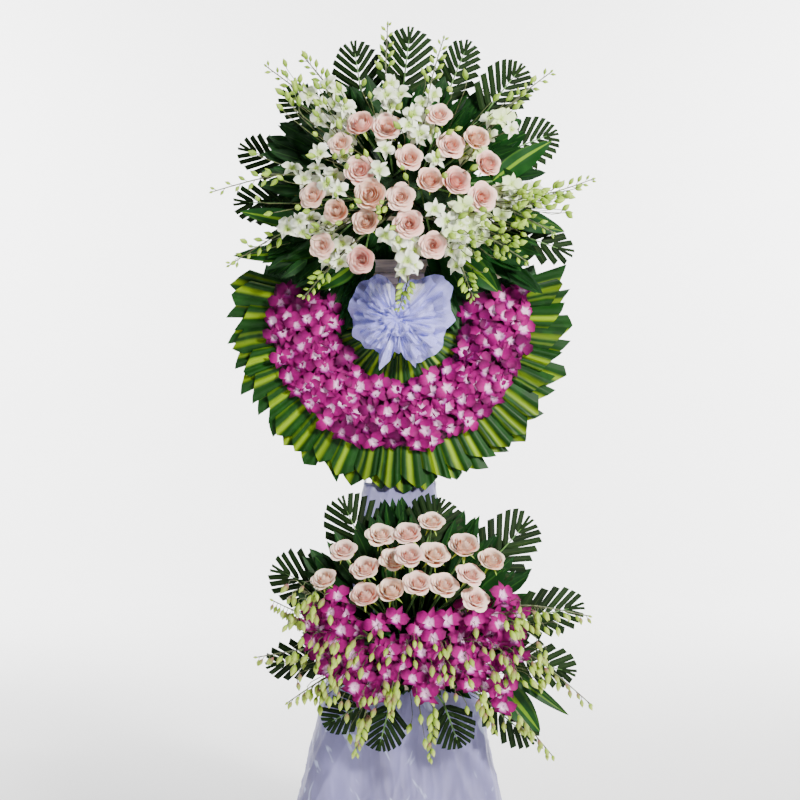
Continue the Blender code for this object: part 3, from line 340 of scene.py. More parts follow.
def palm_paint():
    paint = Paint("palm_leaflet", 0.55, Specular_IOR_Level=0.08)
    across, along = paint.uv()
    tint = paint.tint()
    veins = (across * 40.0).math("SINE") * 0.5 + 0.5
    blotch = paint.noise(paint.place(), 45.0, 3.0)
    colour = paint.mix(tint, (0.0015, 0.007, 0.0015), (0.008, 0.025, 0.005))
    colour = paint.mix(veins * 0.30, colour, (0.014, 0.036, 0.007))
    colour = paint.mix(blotch.between(0.55, 0.8) * 0.4, colour, (0.030, 0.058, 0.008))
    # A lighter stripe along the rib: partly its own paler green, partly a painted highlight on the crest of
    # the fold.
    middle = 1 - (across - 0.5).math("ABSOLUTE").between(0.02, 0.09)
    colour = paint.mix(middle * 0.25, colour, (0.04, 0.075, 0.014))
    return paint.finish(colour, veins, 0.35, 0.0006, 0.42 + blotch * 0.25)


def striped_leaf_paint(name, dark, light, stripe_width, softness=0.45):
    """A broad leaf: dark green edges, a yellow-green stripe along its middle, fine veins along it."""
    paint = Paint(name, 0.4, Specular_IOR_Level=0.18)
    across, along = paint.uv()
    tint = paint.tint()
    wander = paint.noise(paint.place(), 14.0, 2.0) * 0.16 - 0.08
    off = (across + wander + tint * 0.16 - 0.58).math("ABSOLUTE")
    stripe = 1 - off.between(stripe_width * softness, stripe_width)
    second = 1 - ((across + wander * 1.5 + tint * 0.3 - 0.30).math("ABSOLUTE")).between(0.01, 0.09)
    veins = (across * 120.0).math("SINE") * 0.5 + 0.5
    blotch = paint.noise(paint.place(), 26.0, 3.0)
    green = paint.mix(tint, dark, (dark[0] * 2.1, dark[1] * 1.75, dark[2] * 1.5))
    green = paint.mix(blotch.between(0.5, 0.75) * 0.35, green, (0.012, 0.10, 0.008))
    strength = (0.35 + tint * 0.65) * stripe + second * 0.18
    colour = paint.mix(strength.clamp(), green, light)
    colour = paint.mix(veins * 0.16, colour, (0.010, 0.07, 0.006))
    return paint.finish(colour, veins, 0.22, 0.0006, 0.36 + blotch * 0.24)


PALM = palm_paint()
COLLAR_LEAF = striped_leaf_paint("striped_leaf", (0.003, 0.026, 0.003), (0.28, 0.44, 0.003), 0.18, 0.10)
BROAD_LEAF = striped_leaf_paint("broad_leaf", (0.002, 0.028, 0.004), (0.15, 0.30, 0.010), 0.10)
FILLER_LEAF = striped_leaf_paint("filler_leaf", (0.002, 0.020, 0.004), (0.025, 0.095, 0.014), 0.06)


def stem_paint(name, young, old):
    paint = Paint(name, 0.5)
    spots = paint.noise(paint.place(), 120.0, 3.0)
    colour = paint.mix(spots.between(0.35, 0.65), young, old)
    return paint.finish(colour, spots, 0.2, 0.0005, 0.42 + spots * 0.2)


GREEN_STEM = stem_paint("green_stem", (0.10, 0.22, 0.05), (0.05, 0.13, 0.03))
SPRAY_STEM = stem_paint("spray_stem", (0.12, 0.16, 0.05), (0.05, 0.045, 0.025))
print("leaf finishes", [leaf.name for leaf in (PALM, COLLAR_LEAF, BROAD_LEAF, FILLER_LEAF)])

# %% [markdown]
# Petals are thin and let light through, so each has a little subsurface. A rose petal goes from pink or
# peach at its foot to paler at its lip, where a painted highlight along the very edge turns it nearly cream,
# and the lower bunches are paler. An orchid petal has a pale throat, veins along it, and a colour that
# deepens towards the edge. Some buds flush purple at the foot.

# %% Petal finishes


def rose_paint(name, pink, peach, pink_edge, peach_edge):
    """A rose petal between pink and peach, paler at its lip, with a painted highlight along the very lip."""
    paint = Paint(name, 0.6, Subsurface_Weight=0.25, Specular_IOR_Level=0.15)
    paint.set("Subsurface Radius", (0.006, 0.003, 0.002))
    across, along = paint.uv()
    tint = paint.tint()
    lip = along.between(0.25, 0.95)
    body = paint.mix(tint, pink, peach)
    edge = paint.mix(tint, pink_edge, peach_edge)
    colour = paint.mix(lip, body, edge)
    # Painted highlight: the last tenth of each petal, its lip, is lightened towards cream.
    rim = along.between(0.90, 1.0)
    colour = paint.mix(rim * 0.50, colour, (1.0, 0.84, 0.76))
    cloud = paint.noise(paint.place(), 60.0, 3.0)
    colour = paint.mix(cloud.between(0.45, 0.8) * 0.25, colour, (1.0, 0.78, 0.68))
    veins = (across * 70.0 + cloud * 2.0).math("SINE")
    return paint.finish(colour, veins, 0.10, 0.0005, 0.5 + cloud * 0.15)


ORCHID_VEINS = 8.0 / 0.12 * 1.3


def orchid_paint(name, throat, middle, edge, throat_end, vein, vein_strength, other):
    """An orchid petal from its throat to its edge, with veins; some copies turn to the other colour, a
    greener tint on white petals and painted shade on purple ones.
    """
    paint = Paint(name, 0.5, Subsurface_Weight=0.08, Specular_IOR_Level=0.12)
    paint.set("Subsurface Radius", (0.004, 0.003, 0.003))
    across, along = paint.uv()
    tint = paint.tint()
    cloud = paint.noise(paint.place(), 90.0, 3.0)
    reach = along + (cloud - 0.5) * 0.25 + (tint - 0.5) * 0.15
    colour = paint.mix(reach.between(throat_end * 0.3, throat_end), throat, middle)
    colour = paint.mix(reach.between(throat_end, 0.95), colour, edge)
    lines = ((across - 0.5) * ORCHID_VEINS).math("SINE").between(0.5, 1.0)
    colour = paint.mix(lines * vein_strength, colour, vein)
    # Some copies turn to the other colour: on white blooms a real greener tint, on purple ones a near-black
    # that is painted shade.
    colour = paint.mix(tint.between(0.45, 1.0) * 0.65, colour, other)
    return paint.finish(colour, lines, 0.16, 0.0005, 0.45 + cloud * 0.2)


ROSE_PETAL = rose_paint("rose_petal", (0.98, 0.38, 0.33), (0.99, 0.52, 0.31), (0.99, 0.60, 0.55),
                        (1.0, 0.72, 0.57))
PALE_ROSE_PETAL = rose_paint("pale_rose_petal", (1.0, 0.40, 0.32), (1.0, 0.50, 0.33), (1.0, 0.72, 0.63),
                             (1.0, 0.80, 0.65))
WHITE_PETAL = orchid_paint("white_orchid_petal", (0.42, 0.60, 0.12), (0.84, 0.90, 0.70), (0.95, 0.96, 0.94),
                           0.42, (0.52, 0.72, 0.24), 0.5, (0.60, 0.80, 0.22))
WHITE_LIP = orchid_paint("white_orchid_lip", (0.45, 0.62, 0.12), (0.78, 0.86, 0.50), (0.90, 0.93, 0.80), 0.6,
                         (0.45, 0.60, 0.15), 0.4, (0.66, 0.82, 0.30))
# The purple petal's and lip's last colour is painted shade: copies with a high tint darken towards it.
PURPLE_PETAL = orchid_paint("purple_orchid_petal", (0.94, 0.50, 0.84), (0.33, 0.0, 0.165),
                            (0.105, 0.0, 0.050), 0.32, (0.10, 0.0, 0.06), 0.45, (0.050, 0.0, 0.032))
PURPLE_LIP = orchid_paint("purple_orchid_lip", (0.96, 0.92, 0.90), (0.70, 0.22, 0.62), (0.22, 0.0, 0.14),
                          0.55, (0.22, 0.0, 0.14), 0.5, (0.16, 0.0, 0.10))


def bud_paint(name, foot, tip, blush=0.0):
    """A bud with faint ribs; with a blush, some copies are purple at the foot."""
    paint = Paint(name, 0.42, Subsurface_Weight=0.1, Specular_IOR_Level=0.25)
    paint.set("Subsurface Radius", (0.003, 0.004, 0.002))
    across, along = paint.uv()
    tint = paint.tint()
    cloud = paint.noise(paint.place(), 110.0, 2.0)
    colour = paint.mix((along + (cloud - 0.5) * 0.4).between(0.15, 0.9), foot, tip)
    # Painted shade: copies with a high tint are darkened towards a deeper green all over.
    colour = paint.mix(tint * 0.6, colour, (foot[0] * 0.5, foot[1] * 0.6, foot[2] * 0.5))
    flushed = tint.between(0.55, 0.9) * (1 - along.between(0.1, 0.7)) * blush
    colour = paint.mix(flushed, colour, (0.30, 0.02, 0.14))
    return paint.finish(colour, (across * 37.7).math("SINE"), 0.12, 0.0006, 0.35 + cloud * 0.2)


GREEN_BUD = bud_paint("green_bud", (0.20, 0.36, 0.02), (0.48, 0.66, 0.10))
PALE_BUD = bud_paint("pale_bud", (0.24, 0.40, 0.02), (0.58, 0.70, 0.14), 0.8)
print("petal and bud finishes", [petal.name for petal in (ROSE_PETAL, WHITE_PETAL, PURPLE_PETAL, GREEN_BUD)])

# %% [markdown]
# Cloth. The skirt is a satin with a faint weave, soft streaks of painted sheen and short bright dashes where
# wrinkles catch the light. The bow is stiff net: fine threads with holes between them, so its alpha is a grid
# on its own map.

# %% Cloth finishes


def skirt_paint():
    paint = Paint("skirt_satin", 0.42)
    across, along = paint.uv()
    weave = (across * 2400.0).math("SINE") * (along * 2400.0).math("SINE")
    sheen_streaks = paint.noise(paint.place((1.0, 1.0, 0.35)), 12.0, 4.0, 0.6)
    left_dashes = paint.noise(paint.place((1.0, 1.0, 0.22), 0.50), 46.0, 2.0, 0.55)
    right_dashes = paint.noise(paint.place((1.0, 1.0, 0.22), -0.35), 40.0, 2.0, 0.55)
    dashes = left_dashes.math("MAXIMUM", right_dashes)
    # Painted sheen: the streaks lighten the satin in soft bands; the dashes are painted highlights on the
    # wrinkles.
    colour = paint.mix(sheen_streaks.between(0.35, 0.65), (0.19, 0.18, 0.35), (0.25, 0.24, 0.49))
    colour = paint.mix(dashes.between(0.64, 0.72) * 0.75, colour, (0.62, 0.70, 0.98))
    height = weave * 0.1 + sheen_streaks + dashes * 0.5
    return paint.finish(colour, height, 0.45, 0.004, 0.30 + sheen_streaks * 0.22)


def net_paint():
    paint = Paint("bow_net", 0.5, Sheen_Weight=0.3)
    across, along = paint.uv()
    threads_across = (across * 620.0).math("SINE").math("ABSOLUTE")
    threads_along = (along * 300.0).math("SINE").math("ABSOLUTE")
    holes = threads_across.math("MINIMUM", threads_along)
    cloud = paint.noise(paint.place(), 30.0, 2.0)
    colour = paint.mix(cloud, (0.33, 0.33, 0.88), (0.48, 0.48, 1.0))
    paint.set("Alpha", (1 - holes.between(0.45, 0.75) * 0.45).clamp())
    return paint.finish(colour, holes, 0.2, 0.0004, 0.45 + cloud * 0.2)


SATIN = skirt_paint()
NET = net_paint()
print("cloth finishes", SATIN.name, NET.name)

# %% [markdown]
# ## Small shapes, modelled once
# A petal or a leaf starts as a flat grid that carries its own map. Its points are then moved to where the
# real one curves. The same few helpers shape every sheet here.

# %% Grid sheets and where they go


def deselect():
    bpy.ops.object.select_all(action="DESELECT")


def grid_shape(name, across, along, rule):
    """A sheet whose points follow rule(u, v), with u across and v along, both from 0 to 1."""
    deselect()
    bpy.ops.mesh.primitive_grid_add(x_subdivisions=across, y_subdivisions=along, size=1, calc_uvs=True)
    piece = bpy.context.object
    piece.name = name
    for vert in piece.data.vertices:
        vert.co = rule(vert.co.x + 0.5, vert.co.y + 0.5)
    piece.data.shade_smooth()
    mesh = piece.data
    bpy.data.objects.remove(piece)
    return mesh


def facing(place, direction, roll=0.0, size=1.0):
    """The matrix that brings a shape's +Z onto a direction."""
    turn = direction.to_track_quat("Z", "Y").to_matrix().to_4x4()
    rolled = turn @ Matrix.Rotation(roll, 4, "Z")
    return Matrix.Translation(place) @ rolled @ Matrix.Diagonal((size, size, size, 1))


def growing(foot, along, face, width, length):
    """The matrix that lays a leaf from its foot along a direction, with its upper side to a face."""
    along = along.normalized()
    side = along.cross(face).normalized()
    upper = side.cross(along)
    turn = Matrix((side * width, along * length, upper * width)).transposed().to_4x4()
    return Matrix.Translation(foot) @ turn


print("a shape at half size faces", facing(UP, FRONT, 0.0, 0.5).col[2].xyz)

# %% [markdown]
# Hundreds of blooms as pieces of their own would be slow, so the copies of a flower are poured into one
# mesh. Each copy keeps its place and a tint, a number from 0 to 1 that its finish reads. The mesh then
# becomes a piece, which rides on the stand and stands for the plain solid.

# %% Copies poured into one piece


def pour(bm, mesh, matrix, number):
    """Add a moved copy of a mesh, whose materials start at this number, and return its points."""
    first_vert = len(bm.verts)
    first_face = len(bm.faces)
    bm.from_mesh(mesh)
    bm.verts.ensure_lookup_table()
    bm.faces.ensure_lookup_table()
    for face in bm.faces[first_face:]:
        face.material_index += number
    poured = bm.verts[first_vert:]
    for vert in poured:
        vert.co = matrix @ vert.co
    return poured


def set_down(bm, name):
    """The finished mesh of what was poured."""
    mesh = bpy.data.meshes.new(name)
    bm.to_mesh(mesh)
    bm.free()
    mesh.shade_smooth()
    print(name, len(mesh.polygons), "faces")
    return mesh


def blend_shapes(name, parts):
    """One mesh out of (mesh, matrix, material number), for a flower that is then copied whole."""
    bm = bmesh.new()
    for mesh, matrix, number in parts:
        pour(bm, mesh, matrix, number)
    return set_down(bm, name)


def put_up(name, mesh, materials, slot, nodes=()):
    """Make a mesh a piece of the stand, which stands for these nodes of the frame."""
    mesh.name = name
    for finish in materials:
        mesh.materials.append(finish)
    piece = bpy.data.objects.new(name, mesh)
    bpy.context.scene.collection.objects.link(piece)
    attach(piece, "root")
    if nodes:
        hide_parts(*nodes)
    return piece


def gather(name, copies, materials, slot, nodes=()):
    """One piece out of many copies: each is (mesh, matrix, tint, number of its first material)."""
    bm = bmesh.new()
    tint_layer = bm.verts.layers.float.new("tint")
    for mesh, matrix, tint, number in copies:
        for vert in pour(bm, mesh, matrix, number):
            vert[tint_layer] = tint
    put_up(name, set_down(bm, name), materials, slot, nodes)


print("a piece is made by", [maker.__name__ for maker in (pour, set_down, put_up)])

# %% [markdown]
# A stem bends smoothly through a few points. A curve with a bevel would do, but rings of points joined by
# faces let it run thinner towards its tip, and stay a mesh that can be poured.

# %% Stems


def smooth_path(points, steps):
    """More points on a smooth line through these."""
    points = [Vector(point) for point in points]
    padded = [points[0] * 2 - points[1], *points, points[-1] * 2 - points[-2]]
    line = []
    for before, start, end, after in zip(padded, padded[1:], padded[2:], padded[3:]):
        for step in range(steps):
            t = step / steps
            square = 2 * before - 5 * start + 4 * end - after
            cube = 3 * start - before - 3 * end + after
            line.append(0.5 * (2 * start + (end - before) * t + square * t * t + cube * t ** 3))
    line.append(points[-1])
    return line


def stem_shape(points, thick, thin, steps, sides):
    """A round stem along a smooth line, closed at both ends."""
    line = smooth_path(points, steps)
    bm = bmesh.new()
    rings = []
    across = (line[1] - line[0]).orthogonal().normalized()
    for count, point in enumerate(line):
        ahead = (line[min(count + 1, len(line) - 1)] - line[max(count - 1, 0)]).normalized()
        across = (across - ahead * across.dot(ahead)).normalized()
        other = ahead.cross(across)
        radius = thick + (thin - thick) * count / (len(line) - 1)
        ring = []
        for side in range(sides):
            angle = 2 * math.pi * side / sides
            ring.append(bm.verts.new(point + (across * math.cos(angle) + other * math.sin(angle)) * radius))
        rings.append(ring)
    for near, far in zip(rings, rings[1:]):
        for side in range(sides):
            after = (side + 1) % sides
            bm.faces.new((near[side], near[after], far[after], far[side]))
    bm.faces.new(rings[0][::-1])
    bm.faces.new(rings[-1])
    mesh = bpy.data.meshes.new("stem")
    bm.to_mesh(mesh)
    bm.free()
    return mesh


STILL = Matrix.Identity(4)
MIDDLE_TINT = 0.5


def add_stem(copies, points, thick, thin, number, steps=1, sides=4):
    """Put a stem through these points among the copies."""
    copies.append((stem_shape(points, thick, thin, steps, sides), STILL, MIDDLE_TINT, number))


print("points on a path of 3 with 4 steps:", len(smooth_path((FRONT, UP, FRONT), 4)))


# %% [markdown]
# A dendrobium bloom has three pointed sepals, two broad petals between them, and a curled lip that stands
# forward from its throat. The petals bend back at their ends. The bloom faces +Z and is 1 unit in radius.

# %% Orchid bloom


def petal_rule(half_width, widest, roundness, cup, bend, ruffle):
    """A petal: where it is widest, how round its end is, its hollow, its end's bend back, its waves."""
    def rule(u, v):
        side = 2 * u - 1
        if v < widest:
            outline = 0.22 + 0.78 * math.sin(v / widest * math.pi / 2)
        else:
            outline = max(0.10, 1 - ((v - widest) / (1 - widest)) ** roundness)
        x = side * half_width * outline
        y = v * (1 - 0.05 * side * side)
        z = cup * math.sin(math.pi * v * 0.8) - bend * v * v + 0.10 * side * side * outline
        z += ruffle * math.sin(side * 5 + v * 7) * v
        return Vector((x, y, z))
    return rule


def lip_rule(u, v):
    """A short trumpet with a spread, ruffled mouth."""
    side = (2 * u - 1)
    turn = side * (1.9 - 0.9 * v)
    radius = 0.15 + 0.17 * v * v
    x = math.sin(turn) * radius * (1 + 0.5 * v)
    y = -0.10 - math.cos(turn) * radius * (1 - 0.2 * v) - 0.26 * v * v
    z = 0.05 + 0.52 * v - 0.30 * v * v + 0.03 * math.sin(side * 9) * v
    return Vector((x, y, z))


def orchid_bloom(name, across, along):
    sepal = grid_shape(name + "_sepal", across, along, petal_rule(0.235, 0.48, 1.6, 0.12, 0.20, 0.02))
    petal = grid_shape(name + "_petal", across, along, petal_rule(0.42, 0.60, 2.6, 0.16, 0.12, 0.035))
    lip = grid_shape(name + "_lip", across + 1, along - 1, lip_rule)
    parts = []
    for angle in (0, 138, -138):
        parts.append((sepal, Matrix.Rotation(math.radians(angle), 4, "Z"), 0))
    for angle in (68, -68):
        raised = Matrix.Translation((0, 0, 0.035))
        parts.append((petal, raised @ Matrix.Rotation(math.radians(angle), 4, "Z"), 0))
    parts.append((lip, Matrix.Diagonal((0.78, 0.78, 0.78, 1)), 1))
    return blend_shapes(name, parts)


BLOOM = orchid_bloom("bloom", 4, 5)
BAND_BLOOM = orchid_bloom("band_bloom", 4, 4)

# %% [markdown]
# A bud is a drop with a blunt, slightly bent tip. A sphere is stretched in edit mode: the rings near its
# foot are drawn in, and the tip is pulled along.

# %% Bud
deselect()
bpy.ops.mesh.primitive_uv_sphere_add(segments=7, ring_count=6, radius=0.5, calc_uvs=True)
drop = bpy.context.object
bpy.ops.object.mode_set(mode="EDIT")
bpy.ops.mesh.select_all(action="SELECT")
bpy.ops.transform.resize(value=(0.50, 0.50, 1.0))
bpy.ops.object.mode_set(mode="OBJECT")
for vert in drop.data.vertices:
    height = vert.co.z + 0.5
    narrow = 0.62 + 0.60 * math.sin(math.pi * min(1, height * 1.05)) - 0.35 * height
    vert.co.x *= narrow
    vert.co.y = vert.co.y * narrow + 0.10 * height * height
    vert.co.z = height
BUD = drop.data
BUD.shade_smooth()
bpy.data.objects.remove(drop)
print("bud", len(BUD.polygons), "faces")

# %% [markdown]
# ## Roses
# A half-open rose is seven rings of petals round a tight heart. Each petal wraps part of a cup: its foot is
# drawn in, its lip rolls outwards, and one edge tucks behind its neighbour. Outer rings open further.

# %% Rose head


def rose_petal(name, radius, height, half_turn, flare, roll_out, dip, across=7, along=6):
    def rule(u, v):
        side = 2 * u - 1
        turn = side * half_turn
        lip = 1 - dip * abs(side) ** 2.4
        rise = v * lip
        cup = 0.30 + 0.70 * math.sin(min(1, rise * 1.35) * math.pi / 2)
        out = radius * cup + flare * rise ** 2.2 + 0.11 * radius * side
        curl = max(0, rise - 0.72) / 0.28
        out += roll_out * curl ** 1.5
        z = height * rise - roll_out * 0.55 * curl ** 2
        pinch = 1 + 0.10 * (1 - abs(side)) * curl
        return Vector((math.sin(turn) * out * pinch, -math.cos(turn) * out * pinch, z))
    return grid_shape(name, across, along, rule)


def rose_head(name, openness):
    """A rose 1 unit in radius, its heart up +Z."""
    rings = (  # petals, radius, height, half turn, flare, roll out, dip
        (3, 0.16, 1.12, 1.45, -0.13, 0.04, 0.10),
        (3, 0.27, 1.13, 1.25, -0.13, 0.07, 0.12),
        (4, 0.38, 1.10, 1.05, -0.12, 0.10, 0.14),
        (4, 0.48, 1.05, 1.05, -0.09, 0.13, 0.16),
        (5, 0.57, 0.98, 0.92, -0.04, 0.16, 0.18),
        (5, 0.65, 0.89, 0.92, 0.01, 0.19, 0.20),
        (5, 0.72, 0.76, 0.92, 0.06, 0.24, 0.22),
    )
    parts = []
    for count, (petals, radius, height, half_turn, flare, roll_out, dip) in enumerate(rings):
        share = count / (len(rings) - 1)
        wide = radius * (1 + 0.12 * openness * share)
        petal = rose_petal(name + "_petal", wide, height, half_turn, flare * openness,
                           roll_out * openness, dip)
        for place in range(petals):
            turn = 2 * math.pi * place / petals + count * 0.9
            lean = Matrix.Rotation(0.05 * math.sin(place * 2.1 + count), 4, "X")
            parts.append((petal, Matrix.Rotation(turn, 4, "Z") @ lean, 0))
    sepal = grid_shape(name + "_sepal", 2, 4, petal_rule(0.13, 0.35, 1.4, -0.05, 0.45, 0.0))
    for place in range(5):
        turn = Matrix.Rotation(2 * math.pi * place / 5, 4, "Z")
        parts.append((sepal, turn @ Matrix.Translation((0, 0.06, 0.02)) @ Matrix.Diagonal((1, 0.8, 1, 1)), 1))
    head = blend_shapes(name, parts)
    widest = max(math.hypot(vert.co.x, vert.co.y) for vert in head.vertices)
    head.transform(Matrix.Scale(1 / widest, 4))
    return head


ROSES = (rose_head("rose_closed", 0.60), rose_head("rose_half_open", 1.0), rose_head("rose_open", 1.25))

# %% [markdown]
# Where the solids put each rose: its head in millimetres, its size in hundredths, and the one bend of its
# stem, where it leaves the foam.

# %% Places of the roses
ROSE_PLACES = {
    "upper_roses_left": (
        ((-115, -248, 1514), 90, (-46, -121, 1422)), ((-169, -245, 1414), 100, (-47, -120, 1422)),
        ((-122, -253, 1384), 90, (-45, -121, 1419)), ((-151, -237, 1318), 95, (-46, -120, 1419)),
        ((-75, -239, 1292), 100, (-45, -121, 1419)),
    ),
    "upper_roses_top": (
        ((-75, -242, 1551), 100, (-15, -121, 1467)), ((-26, -244, 1546), 110, (-14, -121, 1468)),
        ((17, -257, 1486), 100, (-13, -122, 1466)), ((-78, -254, 1463), 110, (-15, -122, 1465)),
    ),
    "upper_roses_middle": (
        ((-56, -262, 1415), 115, (-5, -122, 1427)), ((-66, -255, 1363), 95, (-4, -122, 1426)),
        ((2, -259, 1411), 105, (-2, -122, 1428)), ((17, -255, 1360), 110, (-2, -122, 1426)),
        ((56, -259, 1443), 95, (-2, -122, 1428)),
    ),
    "upper_roses_right": (
        ((75, -238, 1571), 95, (40, -121, 1451)), ((97, -248, 1511), 105, (40, -121, 1451)),
        ((147, -241, 1524), 95, (41, -121, 1451)), ((168, -244, 1476), 95, (42, -120, 1450)),
        ((107, -254, 1441), 105, (40, -121, 1448)), ((158, -248, 1412), 110, (41, -121, 1449)),
        ((64, -247, 1320), 100, (40, -121, 1448)),
    ),
    "lower_roses_left": (
        ((-109, -284, 723), 100, (-7, -199, 556)), ((-146, -293, 668), 95, (-8, -199, 555)),
        ((-67, -297, 689), 105, (-7, -199, 555)), ((-67, -305, 639), 100, (-7, -200, 554)),
        ((-38, -280, 752), 110, (-5, -199, 556)), ((-12, -297, 707), 105, (-5, -199, 556)),
        ((-17, -308, 648), 100, (-5, -201, 555)), ((33, -307, 662), 105, (-5, -200, 555)),
    ),
    "lower_roses_right": (
        ((14, -287, 755), 105, (32, -194, 556)), ((61, -273, 777), 95, (33, -194, 556)),
        ((17, -327, 718), 105, (32, -195, 556)), ((65, -293, 715), 115, (32, -194, 556)),
        ((123, -285, 730), 110, (35, -194, 556)), ((83, -306, 658), 110, (34, -196, 555)),
        ((134, -301, 678), 105, (35, -195, 555)), ((144, -300, 631), 105, (35, -195, 555)),
        ((176, -289, 704), 95, (35, -194, 555)),
    ),
}
print("roses", sum(len(bunch) for bunch in ROSE_PLACES.values()))

# %% [markdown]
# Every rose takes one of three heads, turned and tinted differently, on a green stem that follows the
# solid's own stem into its hole in the foam. The heads look forward and outwards, and the lower ones also
# up, so their sides show.

# %% Roses on their stems
ROSE_RADIUS = 0.0275
ROSE_STEM = 2
FULL_TURN = 6.28


def metres(place):
    return Vector(place) / 1000


ROSE_HEADS = [metres(head) for bunch in ROSE_PLACES.values() for head, size, bend in bunch]


def hides_rose(place, margin):
    """Whether something here would stand in front of a rose."""
    return any(math.hypot(place.x - head.x, place.z - head.z) < margin for head in ROSE_HEADS)


def build_roses():
    draw = random.Random(11)
    for name, bunch in ROSE_PLACES.items():
        copies = []
        for head, size, bend in bunch:
            top = metres(head)
            radius = ROSE_RADIUS * size / 100
            outward = (top - focus_of(name)).normalized()
            heading = outward + FRONT * 1.1 + UP * (1.15 if is_lower(name) else 0.50)
            heading += Vector((draw.uniform(-0.25, 0.25), 0, draw.uniform(-0.2, 0.25)))
            heading.normalize()
            lower = top - heading * radius * 0.25
            shape = ROSES[draw.choice((0, 1, 1, 2))]
            matrix = facing(lower, heading, draw.uniform(0, FULL_TURN), radius * 1.08)
            copies.append((shape, matrix, draw.random(), 0))
            line = (metres(bend), lower - heading * radius * 0.4, lower + heading * 0.004)
            add_stem(copies, line, 0.0021, 0.0020, ROSE_STEM, 3, 6)
        petal = PALE_ROSE_PETAL if is_lower(name) else ROSE_PETAL
        gather(name + "_petals", copies, (petal, GREEN_BUD, GREEN_STEM), "pale_pink_petal", (name,))


build_roses()

# %% [markdown]
# Each orchid spray is a stem from the foam to its tip, in millimetres. First comes how many of its points
# lie hidden in and near the foam. Blooms grow on the first half that shows, and buds on the rest.

# %% Places of the sprays
SPRAY_PLACES = {
    "white_sprays_upper_left": (
        (1, (-40, -121, 1471), (-98, -234, 1497), (-128, -211, 1551), (-178, -188, 1608),
         (-219, -174, 1643), (-267, -160, 1680)),
        (1, (-39, -121, 1474), (-91, -229, 1537), (-109, -206, 1581), (-139, -183, 1631),
         (-164, -169, 1665), (-194, -155, 1701)),
    ),
    "white_sprays_top": (
        (1, (4, -121, 1477), (-20, -226, 1529), (-26, -206, 1586), (-28, -186, 1657), (-28, -178, 1690),
         (-26, -170, 1726), (-25, -162, 1763)),
        (1, (7, -121, 1477), (45, -226, 1527), (47, -207, 1572), (59, -187, 1634), (71, -176, 1682),
         (87, -164, 1735)),
    ),
    "white_sprays_right": (
        (1, (70, -121, 1447), (134, -223, 1490), (164, -201, 1541), (214, -179, 1596), (254, -166, 1632),
         (302, -152, 1670)),
        (1, (71, -120, 1445), (193, -216, 1419), (238, -199, 1416), (295, -182, 1426), (323, -175, 1434),
         (353, -169, 1444), (385, -162, 1456)),
    ),
    "white_sprays_left": (
        (2, (-65, -121, 1412), (-94, -175, 1415), (-122, -228, 1434), (-158, -209, 1461),
         (-231, -190, 1462), (-273, -182, 1456), (-320, -175, 1445), (-375, -167, 1430)),
        (1, (-65, -120, 1409), (-132, -220, 1348), (-168, -203, 1365), (-230, -187, 1348),
         (-281, -177, 1322), (-342, -167, 1283)),
    ),
    "white_sprays_hanging": (
        (1, (-10, -121, 1395), (-99, -219, 1320), (-114, -213, 1307), (-141, -208, 1278),
         (-163, -204, 1252), (-190, -201, 1220)),
        (1, (-7, -121, 1395), (12, -226, 1332), (19, -233, 1299), (16, -241, 1258), (9, -245, 1228),
         (-2, -249, 1195)),
        (1, (-7, -121, 1396), (98, -226, 1359), (110, -218, 1318), (124, -210, 1274), (134, -206, 1247),
         (145, -201, 1219)),
    ),
    "white_sprays_lower_right": (
        (1, (50, -120, 1416), (130, -225, 1383), (162, -214, 1399), (214, -204, 1391), (256, -197, 1373),
         (305, -191, 1347)),
        (1, (48, -122, 1416), (104, -236, 1383), (131, -226, 1366), (174, -216, 1338), (210, -210, 1316),
         (251, -204, 1290)),
    ),
    "purple_sprays_left": (
        (1, (-46, -220, 536), (-97, -277, 554), (-126, -275, 545), (-180, -273, 533), (-210, -272, 528),
         (-243, -271, 522), (-281, -270, 515)),
        (1, (-46, -219, 539), (-105, -278, 589), (-136, -269, 585), (-180, -261, 595), (-213, -256, 607),
         (-251, -251, 624)),
    ),
    "purple_sprays_lower_left": (
        (1, (-22, -220, 504), (-66, -276, 515), (-99, -280, 504), (-144, -284, 479), (-179, -287, 457),
         (-219, -290, 430)),
        (1, (-19, -222, 503), (-33, -275, 499), (-47, -283, 470), (-64, -290, 421), (-75, -295, 382),
         (-87, -299, 335)),
    ),
    "purple_sprays_middle": (
        (1, (20, -222, 530), (0, -283, 555), (-7, -294, 524), (-13, -305, 481), (-16, -312, 448),
         (-19, -319, 411)),
        (1, (23, -221, 530), (54, -284, 563), (63, -295, 508), (65, -306, 436), (64, -310, 403),
         (61, -314, 366), (57, -319, 327)),
    ),
    "purple_sprays_lower_right": (
        (1, (68, -221, 524), (105, -281, 554), (127, -290, 514), (151, -298, 461), (168, -304, 422),
         (185, -309, 379)),
        (1, (70, -220, 522), (132, -277, 534), (172, -284, 481), (223, -291, 418), (258, -295, 374),
         (297, -299, 327)),
    ),
    "purple_sprays_right": (
        (2, (74, -220, 541), (107, -244, 559), (132, -280, 570), (183, -283, 563), (254, -286, 523),
         (290, -287, 496), (329, -288, 464), (371, -290, 427)),
        (1, (72, -220, 543), (124, -289, 593), (175, -283, 614), (248, -276, 618), (305, -272, 610),
         (370, -269, 596)),
    ),
}
print("sprays", sum(len(bunch) for bunch in SPRAY_PLACES.values()))

# %% [markdown]
# Blooms stand on short stalks on both sides of the stem, alternately, and look forward. Towards the tip
# the stem carries buds, each smaller than the last. On the lower sprays the buds hang. A bloom that would
# hide a rose stands further back.

